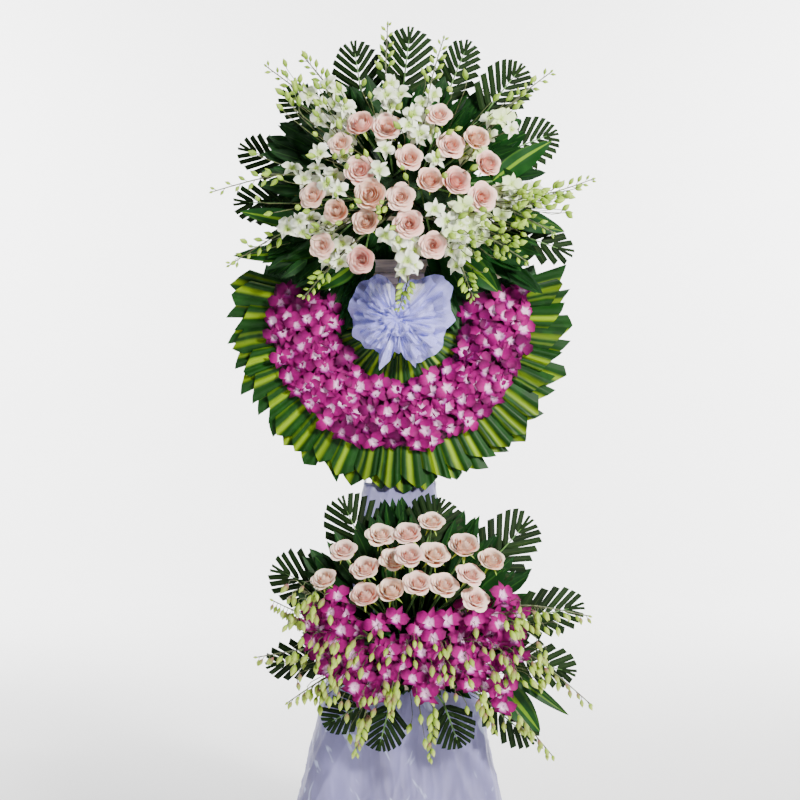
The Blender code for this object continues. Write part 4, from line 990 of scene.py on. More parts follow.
# %% One bloom and one bud on a stalk
PETAL = 0
DROP = 2
STEM = 3
SPRAY_FINISHES = {
    "white": (WHITE_PETAL, WHITE_LIP, GREEN_BUD, SPRAY_STEM),
    "purple": (PURPLE_PETAL, PURPLE_LIP, PALE_BUD, SPRAY_STEM),
}


def bloom_tint(place, draw):
    """White blooms on the right are the greener ones."""
    return draw.random() * 0.6 + (0.4 if place.x > 0.09 and place.z > 1 else 0)


def bloom_on(copies, root, side, size, hang, draw):
    """One bloom on its stalk."""
    heading = (FRONT + side * 0.55 + UP * (0.12 - hang)).normalized()
    heading += Vector((draw.uniform(-0.3, 0.3), draw.uniform(-0.1, 0.1), draw.uniform(-0.25, 0.25)))
    heading.normalize()
    centre = root + (FRONT * 0.4 + side).normalized() * size * 0.45
    if hides_rose(centre, 0.036):
        centre.y += 0.026
    matrix = facing(centre, heading, draw.uniform(-0.5, 0.5), size)
    copies.append((BLOOM, matrix, bloom_tint(centre, draw), PETAL))
    stalk = (root, (root + centre) / 2 + UP * 0.002, centre + heading * 0.002)
    add_stem(copies, stalk, 0.0011, 0.0010, STEM)


def bud_on(copies, root, heading, length, draw, stalk=0.4):
    """One bud on its stalk."""
    foot = root + heading * length * stalk
    copies.append((BUD, facing(foot, heading, draw.uniform(0, FULL_TURN), length), draw.random(), DROP))
    add_stem(copies, (root, foot + heading * length * 0.06), 0.0009, 0.0008, STEM)


print("finishes of a white spray", [finish.name for finish in SPRAY_FINISHES["white"]])

# %% [markdown]
# A spray is laid from its hidden foot to its tip: the stem first, then six blooms over its first half, then
# the buds. Left and right take turns, as on the plant, and a random step keeps two sprays from looking
# alike.

# %% Orchid sprays
BLOOM_COUNT = 6
SPRAY_BLOOM = {"white": 0.0238, "purple": 0.0300}
SPRAY_BUDS = {"white": 10, "purple": 11}


def station(points, share):
    """The point this share of the way along these points, and the direction there."""
    whole = min(int(share * (len(points) - 1)), len(points) - 2)
    start, end = points[whole], points[whole + 1]
    return start.lerp(end, share * (len(points) - 1) - whole), (end - start).normalized()


def alternate(ahead, count):
    """The left and the right of a stem by turns."""
    return ahead.cross(FRONT).normalized() * (1 if count % 2 else -1)


def dress_spray(copies, hidden, points, kind, draw):
    """The stem, blooms and buds of one spray."""
    line = [metres(point) for point in points]
    add_stem(copies, line, 0.0021, 0.0012, STEM, 3, 6)
    flowering = line[hidden:hidden + 3]
    budding = line[hidden + 2:]
    hanging = kind == "purple"
    for count in range(BLOOM_COUNT):
        root, ahead = station(flowering, min(1, (count + 0.3) / BLOOM_COUNT))
        size = SPRAY_BLOOM[kind] * draw.uniform(0.88, 1.08)
        bloom_on(copies, root, alternate(ahead, count), size, 0.35 if hanging else 0.0, draw)
    for count in range(SPRAY_BUDS[kind]):
        share = min(1, (count + 0.4) / SPRAY_BUDS[kind])
        root, ahead = station(budding, share)
        side = alternate(ahead, count)
        length = (0.024 if hanging else 0.020) * (1.12 - 0.58 * share) * draw.uniform(0.85, 1.15)
        if hanging:
            heading = side * 0.35 + ahead * 0.35 - UP * 0.9 + FRONT * draw.uniform(0.0, 0.5)
        else:
            heading = side * 0.8 + ahead * 0.9 + FRONT * draw.uniform(0.1, 0.7)
        bud_on(copies, root, heading.normalized(), length, draw)
    tip, ahead = station(budding, 1)
    bud_on(copies, tip - ahead * 0.004, ahead, 0.010, draw, 0.1)


def build_sprays():
    draw = random.Random(29)
    for name, bunch in SPRAY_PLACES.items():
        kind = name.split("_")[0]
        copies = []
        for hidden, *points in bunch:
            dress_spray(copies, hidden, points, kind, draw)
        gather(name + "_flowers", copies, SPRAY_FINISHES[kind], kind + "_orchid_petal", (name,))


build_sprays()

# %% [markdown]
# More sprays stand between the roses, so close that only single blooms and buds of them show. Their columns
# and rows follow the white and the purple mass on the picture plane. Where the mass is too thick to tell
# one bud from the next, buds are strewn over it.

# %% Places between the roses
WHITE_PLACES = (
    (313, 97), (331, 85), (322, 153), (348, 109), (387, 97), (404, 97), (390, 114), (414, 114), (409, 126),
    (421, 136), (433, 131), (385, 151), (339, 189), (329, 184), (380, 172), (414, 180), (419, 189),
    (436, 163), (302, 221), (288, 231), (339, 252), (356, 235), (378, 228), (390, 235), (399, 243),
    (438, 211), (448, 223), (462, 226), (453, 235), (487, 180), (494, 189), (511, 184), (516, 199),
    (501, 119), (511, 129), (462, 238), (472, 228), (411, 262), (482, 223), (365, 128), (398, 196),
    (466, 205), (371, 214), (425, 243),
)
PURPLE_PLACES = (
    (339, 596), (358, 603), (334, 614), (349, 617), (311, 626), (344, 631), (358, 631), (400, 619),
    (433, 622), (422, 631), (448, 622), (464, 615), (476, 622), (485, 612), (502, 596), (500, 626),
    (391, 655), (382, 650), (353, 655), (323, 655), (358, 666), (367, 676), (400, 664), (391, 676),
    (356, 690), (415, 681), (445, 666), (462, 659), (471, 669), (488, 664), (466, 683), (476, 685),
    (504, 695), (507, 664), (425, 652), (436, 640), (378, 628), (490, 640), (336, 645), (376, 690),
    (430, 690),
)
WHITE_BUD_PLACES = (
    (290, 70), (298, 92), (310, 60), (345, 90), (364, 88), (383, 92), (425, 80), (430, 98), (452, 92),
    (468, 80), (375, 100), (358, 122), (372, 158), (400, 150), (404, 168), (430, 118), (446, 140),
    (362, 200), (352, 210), (384, 218), (396, 225), (402, 236), (408, 228), (470, 212), (482, 208),
    (492, 215), (500, 222), (506, 236), (514, 228), (524, 196), (532, 204), (540, 192), (548, 208),
    (556, 186), (566, 198), (574, 186), (520, 216), (516, 110), (524, 96), (532, 86), (508, 104),
    (496, 100), (262, 156), (272, 172), (286, 180), (302, 206), (262, 204), (274, 214), (252, 244),
    (240, 262), (330, 262), (324, 274), (412, 286), (404, 296), (478, 258), (484, 270), (474, 244),
    (458, 248), (392, 128), (440, 186), (366, 228), (456, 130), (470, 172), (404, 208),
)
PALE_BUD_PLACES = (
    (299, 591), (288, 586), (308, 603), (294, 610), (311, 614), (330, 645), (318, 659), (337, 655),
    (351, 643), (356, 659), (370, 633), (382, 631), (342, 683), (327, 685), (330, 697), (320, 706),
    (367, 699), (386, 681), (385, 699), (351, 716), (376, 711), (363, 721), (351, 737), (356, 751),
    (419, 699), (422, 716), (436, 702), (445, 692), (434, 669), (445, 655), (422, 643), (415, 664),
    (434, 643), (455, 645), (476, 631), (478, 648), (497, 650), (496, 671), (509, 655), (492, 711),
    (511, 711), (519, 728), (504, 726), (533, 728), (530, 669), (547, 681), (533, 664), (521, 671),
    (511, 622), (528, 622), (538, 614), (514, 631), (300, 668), (308, 690), (296, 652), (312, 642),
    (346, 702), (400, 700), (412, 726), (470, 706), (460, 694), (522, 650), (540, 640), (366, 668),
    (398, 680), (452, 680), (484, 690), (424, 742),
)


def strewn(low, high, count, seed):
    """Places strewn between two corners, which have two or three numbers each."""
    draw = random.Random(seed)
    return [tuple(draw.uniform(*ends) for ends in zip(low, high)) for _ in range(count)]


MORE_GREEN_BUDS = (
    *strewn((516, 188), (572, 212), 34, 71), *strewn((470, 222), (522, 258), 30, 72),
    *strewn((300, 100), (480, 240), 44, 73), *strewn((284, 76), (330, 110), 14, 74),
)
MORE_PALE_BUDS = (
    *strewn((290, 586), (334, 626), 20, 75), *strewn((296, 640), (350, 700), 24, 76),
    *strewn((512, 604), (560, 634), 18, 77), *strewn((500, 650), (552, 690), 20, 78),
    *strewn((330, 640), (500, 702), 34, 79),
)
print("loose blooms", len(WHITE_PLACES), "white and", len(PURPLE_PLACES), "purple")

# %% [markdown]
# Each loose bloom or bud stands on its own short stem, which leads back towards the foam, so nothing
# floats when the stand is seen from its side. One that would hide a rose is left out.

# %% Blooms and buds between the roses
LOOSE_BLOOM = {"white": 0.0234, "purple": 0.0290}


def stalk_back(place, focus, length, draw):
    """The far end of a stem that leads from a bloom back towards the foam."""
    inward = (focus - place).normalized()
    sway = Vector((draw.uniform(-0.15, 0.15), 0.25, draw.uniform(-0.15, 0.15)))
    return place + (inward + sway).normalized() * length


def loose_bloom(copies, place, away, focus, size, draw):
    sway = Vector((draw.uniform(-0.6, 0.6), 0, draw.uniform(-0.6, 0.5)))
    heading = (FRONT * 1.1 + away * 0.8 + sway).normalized()
    radius = size * draw.uniform(0.86, 1.08)
    if hides_rose(place, 0.034):
        return
    matrix = facing(place, heading, draw.uniform(-0.7, 0.7), radius)
    copies.append((BLOOM, matrix, bloom_tint(place, draw), PETAL))
    root = stalk_back(place, focus, 0.055, draw)
    add_stem(copies, (root, root.lerp(place, 0.5), place + heading * 0.002), 0.0014, 0.0010, STEM)


def loose_bud(copies, place, away, focus, hanging, draw):
    if hanging:
        heading = away * 0.35 - UP * 1.0 + FRONT * 0.2 + Vector((draw.uniform(-0.45, 0.45), 0, 0))
    else:
        heading = away + UP * 0.25 + Vector((draw.uniform(-0.7, 0.7), 0, draw.uniform(-0.6, 0.7)))
    heading.normalize()
    length = draw.uniform(0.017, 0.026)
    if hides_rose(place, 0.022):
        return
    root = place - heading * draw.uniform(0.010, 0.018) + away * -0.008
    copies.append((BUD, facing(place, heading, draw.uniform(0, FULL_TURN), length), draw.random(), DROP))
    back = stalk_back(root, focus, max(0.045, 0.42 * (root - focus).length), draw)
    add_stem(copies, (back, root, place + heading * 0.002), 0.0010, 0.0008, STEM, 2)


def build_loose(kind, blooms, buds, surface, focus, seed):
    draw = random.Random(seed)
    copies = []
    for column, row in blooms:
        column += draw.uniform(-2, 2)
        row += draw.uniform(-2, 2)
        place = seen(column, row, dome(column, row, *surface) + draw.uniform(-0.002, 0.030))
        loose_bloom(copies, place, (place - focus).normalized(), focus, LOOSE_BLOOM[kind], draw)
    for column, row in buds:
        column += draw.uniform(-3, 3)
        row += draw.uniform(-3, 3)
        place = seen(column, row, dome(column, row, *surface) - draw.uniform(0.000, 0.016))
        loose_bud(copies, place, (place - focus).normalized(), focus, kind == "purple", draw)
    gather(kind + "_loose_blooms", copies, SPRAY_FINISHES[kind], kind + "_orchid_petal")


build_loose("white", WHITE_PLACES, (*WHITE_BUD_PLACES, *MORE_GREEN_BUDS), UPPER_DOME, UPPER_FOCUS, 51)
build_loose("purple", PURPLE_PLACES, (*PALE_BUD_PLACES, *MORE_PALE_BUDS), LOWER_DOME, LOWER_FOCUS, 53)

# %% [markdown]
# ## Palm fronds
# The florist trims each frond to a fan: straight leaflets, folded along their middle, leave the rib on both
# sides and are cut off square, so their ends make a rounded outline. A flat leaf with a cut-out picture
# would look right from the front alone, so each leaflet is a sheet of its own, as long as the oval allows.

# %% Leaflet and frond


def leaflet_rule(u, v):
    side = 2 * u - 1
    width = 0.5 * min(1, 0.45 + 3.2 * v) * (1 - 0.10 * v)
    end_cut = 1 + 0.03 * side
    fold = -0.26 * abs(side) * width * (1 - 0.4 * v)
    return Vector((side * width, v * end_cut, fold + 0.06 * math.sin(math.pi * v)))


LEAFLET = grid_shape("leaflet", 4, 6, leaflet_rule)
BLUNTNESS = 2.5
SPINE_SHARE = 0.80
STALK = 1


def trimmed(start, slant, length, half_width):
    """How long a leaflet is that starts on the rib, slants away and ends on the blunt oval of the cut."""
    reach = 0.0
    while reach < length:
        forward = abs((start + reach * math.cos(slant)) / (0.5 * length) - 1)
        across = reach * math.sin(slant) / half_width
        if forward ** BLUNTNESS + across ** BLUNTNESS > 1:
            break
        reach += 0.01 * length
    return reach


def frond(base, tip, half_width, leaflets, draw):
    """Copies that make one frond, laid from its base to its tip, with its upper side to the front."""
    along = tip - base
    length = along.length * 0.945
    along.normalize()
    side = along.cross(FRONT).normalized()
    face = side.cross(along).normalized()

    def place(forward, across):
        arch = 0.10 * length * math.sin(math.pi * min(1, forward / length))
        lift = arch - 0.30 * across * across / half_width
        return base + along * forward + side * across + face * lift

    copies = []
    spine = length * SPINE_SHARE
    add_stem(copies, [place(spine * step / 5, 0) for step in range(6)], 0.0024, 0.0010, STALK, 1, 5)
    for sign in (-1, 1):
        for count in range(leaflets):
            share = (count + 0.5) / leaflets
            slant = math.radians(54 - 27 * share)
            reach = trimmed(spine * share, slant, length, half_width) * draw.uniform(0.94, 1.0)
            foot = place(spine * share, sign * 0.0012)
            end = place(spine * share + reach * math.cos(slant), sign * reach * math.sin(slant))
            width = spine / leaflets * (1.03 - 0.50 * share) * draw.uniform(0.88, 1.08)
            lean = face + side * sign * draw.uniform(-0.05, 0.15)
            matrix = growing(foot, end - foot, lean, width, (end - foot).length)
            copies.append((LEAFLET, matrix, draw.random(), 0))
    last = place(spine, 0)
    for spread in (-0.17, 0.17):
        matrix = growing(last, along + side * spread, face, 0.0062, (length - spine) * 0.97)
        copies.append((LEAFLET, matrix, draw.random(), 0))
    return copies


print("leaflet", len(LEAFLET.polygons), "faces")


# %% [markdown]
# Columns, rows and depths of every frond's base and tip, and its half width in pixels: the same places as
# the solids.

# %% Fronds of both arrangements
FRONDS = {
    "frond_top_left": (((366, 112), (355, 40), 23, -0.035, 0.000),),
    "frond_top": (((404, 100), (413, 26), 26, -0.070, -0.040),),
    "frond_top_right": (((446, 104), (472, 40), 19, -0.020, 0.015),),
    "frond_upper_right": (((484, 118), (527, 64), 24, -0.085, -0.070),),
    "frond_right": (((500, 156), (562, 132), 23, -0.045, -0.025),),
    "frond_upper_left": (((338, 128), (281, 92), 20, -0.085, -0.070),),
    "frond_left": (
        ((312, 176), (238, 146), 20, -0.030, 0.000), ((318, 205), (231, 203), 20, -0.060, -0.050),
    ),
    "frond_lower_right": (((492, 226), (580, 256), 17, -0.075, -0.070),),
    "lower_frond_left": (
        ((350, 600), (268, 566), 24, -0.150, -0.130), ((340, 654), (262, 668), 16, -0.180, -0.180),
    ),
    "lower_frond_top_left": (((378, 572), (340, 492), 25, -0.170, -0.150),),
    "lower_frond_top": (((420, 566), (446, 494), 25, -0.195, -0.175),),
    "lower_frond_upper_right": (((478, 578), (537, 514), 24, -0.165, -0.145),),
    "lower_frond_right": (
        ((505, 622), (592, 605), 19, -0.165, -0.150), ((505, 655), (584, 676), 17, -0.190, -0.185),
    ),
    "lower_frond_bottom_left": (
        ((368, 704), (322, 730), 16, -0.215, -0.215), ((392, 706), (379, 757), 18, -0.225, -0.225),
    ),
    "lower_frond_bottom_right": (
        ((446, 706), (464, 754), 18, -0.225, -0.225), ((486, 700), (542, 748), 17, -0.200, -0.200),
    ),
}


def foam_side(focus, towards, reach=0.055):
    """Where a stalk that heads this way leaves the foam."""
    return focus + (towards - focus).normalized() * reach


def trimmed_frond(name, foot, end, half_width, draw):
    """The lower fronds are cut wider, and a narrow frond has fewer leaflets."""
    spread = 1.22 if is_lower(name) else 1.08
    return frond(foot, end, half_width * PIXEL * spread, 7 if half_width > 18 else 6, draw)


def plant(table, blade, ending, finish, slot, seed):
    """Every blade of a table from its base to its tip, and the stalk that holds it in the foam."""
    draw = random.Random(seed)
    for name, blades in table.items():
        copies = []
        for base, tip, half_width, base_depth, tip_depth in blades:
            foot = seen(*base, base_depth)
            copies += blade(name, foot, seen(*tip, tip_depth), half_width, draw)
            add_stem(copies, (foam_side(focus_of(name), foot), foot), 0.0026, 0.0024, STALK, 1, 5)
        gather(name + ending, copies, (finish, GREEN_STEM), slot, (name,))


plant(FRONDS, trimmed_frond, "_leaflets", PALM, "palm_green", 5)

# %% [markdown]
# ## Broad leaves
# Smooth, pointed leaves with a yellow-green stripe. The blade folds along its rib, and its edge waves: the
# same grid as before with another rule, stretched to each leaf's own length and width.

# %% Broad leaves


def broad_rule(u, v):
    side = 2 * u - 1
    width = 0.03 + 0.97 * math.sin(math.pi * v ** 0.8) ** 0.8
    x = side * width
    z = 0.26 * abs(side) ** 1.3 * width + 0.05 * math.sin(v * 17 + side * 1.5) * abs(side)
    return Vector((x, v, z))


BROAD = grid_shape("broad_leaf", 8, 14, broad_rule)
BROAD_LEAVES = {
    "broad_leaves_left": (
        ((320, 226), (243, 212), 9, -0.105, -0.105), ((330, 250), (236, 256), 9, -0.110, -0.110),
    ),
    "broad_leaves_right": (
        ((494, 182), (553, 142), 10, -0.105, -0.105), ((500, 212), (566, 232), 10, -0.110, -0.110),
    ),
    "broad_leaves_below": (
        ((452, 250), (500, 292), 11, -0.110, -0.130), ((360, 262), (316, 290), 10, -0.110, -0.130),
    ),
    "lower_broad_leaves": (
        ((500, 682), (543, 735), 12, -0.240, -0.240), ((496, 662), (572, 718), 6, -0.260, -0.270),
    ),
}


def broad_leaf(name, foot, end, half_width, draw):
    """One copy of the broad leaf from foot to end, with its upper side to the viewer."""
    along = end - foot
    matrix = growing(foot, along, FRONT + UP * 0.1, half_width * PIXEL * 1.1, along.length)
    return [(BROAD, matrix, draw.random(), 0)]


plant(BROAD_LEAVES, broad_leaf, "_blades", BROAD_LEAF, "striped_leaf_green", 17)

# %% [markdown]
# ## Wreath
# Striped leaves are pleated, cut off slanting and pinned side by side round the board, so their ends make
# a ring of uneven teeth. A second layer lies half a leaf further round on top of the first. One leaf
# copied round would look stamped, so each is shaped anew, with its own pleats, cut and sway.

# %% Leaf collars
WREATH_HEIGHT = 1.179
LEAF_DEPTH = -0.0353
WREATH_FROM = math.radians(162)
WREATH_TO = math.radians(378)
OVERLAP = 0.06


def around(radius, angle, depth):
    """The point at this radius and angle of the wreath."""
    return Vector((radius * math.cos(angle), depth, WREATH_HEIGHT + radius * math.sin(angle)))


def stepped(values, share):
    """The value at this share of the way along a row of values."""
    place = share * (len(values) - 1)
    whole = min(int(place), len(values) - 2)
    return values[whole] + (values[whole + 1] - values[whole]) * (place - whole)


def collar_leaf(inner, outer, first, last, depth, fold, pleats, teeth, sway):
    """One pleated leaf of a collar, from its inner edge to its cut end."""

    def rule(u, v):
        radius = inner + (outer * stepped(teeth, u) - inner) * v
        angle = first + (last - first) * (u + sway * v * math.sin(math.pi * u))
        place = u * pleats
        crest = 1 - abs(2 * (place - int(place)) - 1) if place < pleats else 0
        return around(radius, angle, depth - crest * fold * (0.35 + 0.65 * v) - 0.004 * v)
    return grid_shape("collar_leaf", 12, 6, rule)


def build_collar(label, count, first, last, inner, outer, layers, profiles):
    """A collar of pleated leaves, which overlap a little. Each layer has its depth, shift, reach and fold."""
    draw = random.Random(count)
    copies = []
    pitch = (last - first) / count
    trim = (0.965, 1.0) if outer > inner else (1, 1.08)
    for depth, shift, reach, fold in layers:
        for leaf in range(count - (1 if shift else 0)):
            start = max(first, first + pitch * (leaf + shift - OVERLAP))
            end = min(last, first + pitch * (leaf + shift + 1 + OVERLAP))
            ends = outer * reach * draw.uniform(*trim)
            shape = collar_leaf(inner, ends, start, end, depth, fold * draw.uniform(0.7, 1.2),
                                draw.choice((2, 3)), draw.choice(profiles), draw.uniform(-0.10, 0.10))
            copies.append((shape, STILL, draw.random(), 0))
    nodes = [label + "_leaves_" + number for number in "123"]
    gather(label + "_collar_leaves", copies, (COLLAR_LEAF,), "striped_leaf_green", nodes)


OUTER_ENDS = (
    (0.900, 0.935, 1.0), (0.910, 0.960, 1.0, 0.940), (0.900, 0.950, 1.0, 0.970),
    (0.925, 1.0, 0.940), (0.890, 0.930, 0.970, 1.0),
)
OUTER_LAYERS = ((LEAF_DEPTH, 0, 1.0, 0.0080), (LEAF_DEPTH - 0.0085, 0.5, 0.965, 0.0110))
build_collar("outer", 25, WREATH_FROM, WREATH_TO, 0.214, 0.368, OUTER_LAYERS, OUTER_ENDS)
INNER_ENDS = ((1.08, 1.0, 1.06), (1.04, 1.0, 1.10), (1.06, 1.02, 1.0, 1.08))
INNER_LAYERS = ((LEAF_DEPTH, 0, 1.0, 0.0030), (LEAF_DEPTH - 0.0045, 0.5, 1.14, 0.0040))
build_collar("inner", 12, math.radians(186), math.radians(354), 0.194, 0.066, INNER_LAYERS, INNER_ENDS)

# %% [markdown]
# The band is packed with open purple orchids, each turned a little differently, on a dark magenta sheet that
# paints the shade between them.
# They stand in six rings, every second ring half a bloom further round, and random steps hide the rings.

# %% Orchid band
BAND_ROWS = (0.143, 0.166, 0.189, 0.212, 0.235, 0.255)
BAND_SPACING = 0.039
BAND_MARGIN = math.radians(3.5)


def build_band():
    draw = random.Random(3)
    first = WREATH_FROM + BAND_MARGIN
    last = WREATH_TO - BAND_MARGIN

    def bed_rule(u, v):
        angle = first - 0.02 + (last - first + 0.04) * v
        turn = math.pi * u
        radius = 0.200 - 0.066 * math.cos(turn)
        lumps = noise.noise(Vector((radius * 60, angle * 12, 3.0))) * 0.004
        return around(radius, angle, -0.050 - 0.013 * math.sin(turn) - lumps)

    # The sheet behind the blooms is painted shade: dark magenta that shows in the gaps between them.
    copies = [(grid_shape("bed", 10, 90, bed_rule), STILL, 1.0, 2)]
    for row, radius in enumerate(BAND_ROWS):
        count = round((last - first) * radius / BAND_SPACING)
        for place in range(count):
            step = place + 0.25 + 0.5 * (row % 2) + draw.uniform(-0.18, 0.18)
            angle = first + (last - first) * step / count
            spot = radius + draw.uniform(-0.007, 0.007)
            swell = math.sin(math.pi * row / (len(BAND_ROWS) - 1))
            depth = -0.062 - 0.008 * swell - draw.uniform(0, 0.008)
            outward = Vector((math.cos(angle), 0, math.sin(angle)))
            heading = FRONT + outward * (radius - 0.2) * 7.0
            heading += Vector((draw.uniform(-0.4, 0.4), 0, draw.uniform(-0.4, 0.4)))
            matrix = facing(around(spot, angle, depth), heading.normalized(), draw.uniform(-1.2, 1.2),
                            draw.uniform(0.027, 0.031))
            copies.append((BAND_BLOOM, matrix, draw.random(), 0))
    print("band blooms", len(copies) - 1)
    gather("purple_band_blooms", copies, (PURPLE_PETAL, PURPLE_LIP, BAND_PAINTED_SHADE), "purple_orchid_petal",
           ("purple_band_1", "purple_band_2", "purple_band_3"))


build_band()

# %% [markdown]
# ## Net bow
# Each loop is a strip of stiff net gathered at the knot. It spreads like a fan, its pleats deepen towards
# the free edge, and that edge is uneven. Several layers lie over each other. Stiff net keeps sharp folds,
# which a cloth simulation would smooth away, so the folds are zigzags. Net is a sheet of cloth, so each
# layer prints the size it was cut to.

# %% Layers of net
KNOT = seen(399, 320, -0.110)
KNOT_RADIUS = 0.004


def zigzag(turns):
    """A zigzag between -1 and 1, once each turn: cloth folded sharply."""
    return 4 * abs(turns - math.floor(turns + 0.5)) - 1


def build_net(name, offset, first, last, reach, size, pleats, depth, lean, seed):
    """One layer of the bow: reach times size is how far its edge stands from the knot."""
    phase = seed * 1.7
    draw = random.Random(seed)
    corners = [draw.uniform(0.90, 1.06) for _ in range(16)]

    def rule(u, v):
        angle = math.radians(first + (last - first) * u)
        edge = stepped(reach, u) * stepped(corners, u) * size
        radius = KNOT_RADIUS + (edge - KNOT_RADIUS) * v
        wander = u + 0.035 * noise.noise(Vector((u * 6, v * 2.5, seed + 0.5)))
        wave = zigzag(wander * pleats + 0.15 * math.sin(v * 3 + phase) + phase)
        wave += 0.55 * zigzag(wander * pleats * 2.3 + phase * 2)
        swing = 0.0014 + depth * v ** 1.1
        bulge = -0.018 * math.sin(math.pi * v * 0.9)
        crumple = noise.noise(Vector((u * 9, v * 5, seed))) * 0.016 * v
        crumple += abs(noise.noise(Vector((u * 17, v * 7, seed + 4.0)))) * 0.016 * v
        x = KNOT.x + offset[0] + radius * math.cos(angle)
        y = KNOT.y + offset[1] + wave * swing + bulge + lean * v + crumple
        z = KNOT.z + offset[2] + radius * math.sin(angle)
        return Vector((x, y, z))

    mesh = grid_shape(name, 110, 12, rule)
    area = sum(face.area for face in mesh.polygons)
    fall = stepped(reach, 0.5) * size
    flat = (round(area / fall, 4), round(fall, 4))
    piece = put_up(name, mesh, (NET,), "bow_net")
    print(name, "was cut to", flat)


# %% [markdown]
# The knot is a gathered ball in front, and a short tie behind it goes through to the slats. Three fans lie
# on each side of it: back, middle and front. Below hang the tails, and a small ruffle goes round the knot.

# %% Bow of net
deselect()
bpy.ops.mesh.primitive_uv_sphere_add(segments=20, ring_count=12, radius=1, calc_uvs=True)
knot = bpy.context.object
knot.name = "bow_knot"
for vert in knot.data.vertices:
    turn = math.atan2(vert.co.z, vert.co.x)
    gathers = 1 + 0.16 * math.sin(turn * 9 + vert.co.y * 4)
    x = vert.co.x * 0.012 * gathers
    vert.co = KNOT + Vector((x, vert.co.y * 0.012 - 0.008, vert.co.z * 0.011 * gathers))
knot.data.shade_smooth()
knot.data.materials.append(NET)
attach(knot, "root")
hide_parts("net_bow")

LEFT_REACH = (0.074, 0.104, 0.116, 0.106, 0.102, 0.100, 0.090, 0.086, 0.078)
RIGHT_REACH = (0.102, 0.106, 0.110, 0.114, 0.120, 0.126, 0.136, 0.098, 0.082)
TAIL_REACH = (0.060, 0.100, 0.066, 0.060, 0.104, 0.070)
RUFFLE_REACH = (0.036, 0.042, 0.034, 0.040, 0.036, 0.043, 0.035)
NETS = (  # name, offset, first and last degree, reach, size, pleats, depth, lean, seed
    ("bow_left_back", (-0.004, 0.012, 0), 90, 256, LEFT_REACH, 0.94, 4, 0.012, 0.006, 1),
    ("bow_left_middle", (-0.004, 0.003, 0), 104, 250, LEFT_REACH[1:], 0.82, 5, 0.011, 0.0, 6),
    ("bow_left_front", (-0.002, -0.004, 0), 122, 240, LEFT_REACH[2:], 0.66, 4, 0.012, -0.010, 2),
    ("bow_right_back", (0.004, 0.012, 0), -74, 84, RIGHT_REACH, 0.95, 4, 0.012, 0.006, 3),
    ("bow_right_middle", (0.004, 0.003, 0), -68, 54, RIGHT_REACH[:7], 0.85, 4, 0.011, 0.0, 7),
    ("bow_right_front", (0.002, -0.004, 0), -60, 44, RIGHT_REACH[:7], 0.66, 3, 0.012, -0.010, 4),
    ("bow_tails", (0, 0.006, -0.004), 236, 306, TAIL_REACH, 1.0, 3, 0.008, -0.002, 5),
    ("bow_small_ruffle", (0, -0.010, 0.002), 20, 340, RUFFLE_REACH, 0.9, 7, 0.007, -0.010, 8),
)
for net in NETS:
    build_net(*net)
tie = []
add_stem(tie, (KNOT, Vector((0, -0.060, 1.262)), Vector((0, -0.0128, 1.262))), 0.0022, 0.0022, 0, 2, 6)
gather("bow_tie", tie, (NET,), "bow_net")

# %% [markdown]
# ## Skirt
# A satin skirt is stretched round the stand under the lower flowers. It is narrow at the top and wide at
# the floor. It is one sheet that goes round the front and both sides, is open behind, and is cut open for
# the two arms of the shelf. Its outline is a smooth line through six rows.

# %% Skirt outline: height, half width, front depth
SKIRT_ROWS = (
    (0.012, 0.243, -0.172),
    (0.170, 0.207, -0.158),
    (0.335, 0.170, -0.142),
    (0.500, 0.134, -0.122),
    (0.660, 0.100, -0.080),
    (0.826, 0.072, -0.029),
)
SKIRT_LINE = smooth_path(SKIRT_ROWS, 8)
SKIRT_FOOT = 0.004
SKIRT_TOP = 0.826
SKIRT_SIDE_DEPTH = 0.20
ARM_OFFSET = 0.060
ARM_HEIGHT = 0.434
SLIT_HALF = 0.0085


def skirt_section(height):
    """Half width and front depth of the skirt at this height."""
    place = 0
    while place < len(SKIRT_LINE) - 2 and SKIRT_LINE[place + 1].x < height:
        place += 1
    low, high = SKIRT_LINE[place], SKIRT_LINE[place + 1]
    row = low.lerp(high, min(1, max(0, (height - low.x) / (high.x - low.x))))
    return row.y, row.z


print("skirt half way up: half width and front", skirt_section(SKIRT_TOP / 2))

# %% [markdown]
# Pulled from its pins the cloth wrinkles in long diagonal folds. Noise has a sharp line where it passes
# through zero, and two slanted sets of such lines, a finer one and a slow wave make the wrinkles. A cloth
# simulation would need the guessed back too, and would move the outline.

# %% Wrinkled sheet


def crease(across, up, seed):
    """A wrinkle line: sharp at its crest, where the noise passes through zero."""
    return max(0.0, 1 - 3.2 * abs(noise.noise(Vector((across, up, seed))))) ** 1.5


def skirt_pull(walked, height):
    """How far the cloth stands off its smooth outline, in metres."""
    fall = 1 - height / SKIRT_TOP
    wander = noise.noise(Vector((walked * 5, height * 3, 1.0)))
    slope = walked * 12 + height * 5
    back_slope = walked * 17 - height * 8
    pull = 0.0042 * crease(slope, height * 3.4, 2.0) * (0.45 + 0.55 * fall)
    pull += 0.0030 * crease(back_slope, height * 4.5, 5.0)
    pull += 0.0016 * crease(walked * 42, height * 11, 9.0)
    pull += 0.0014 * noise.noise(Vector((walked * 30, height * 12, 7.0)))
    return pull + 0.007 * wander * fall


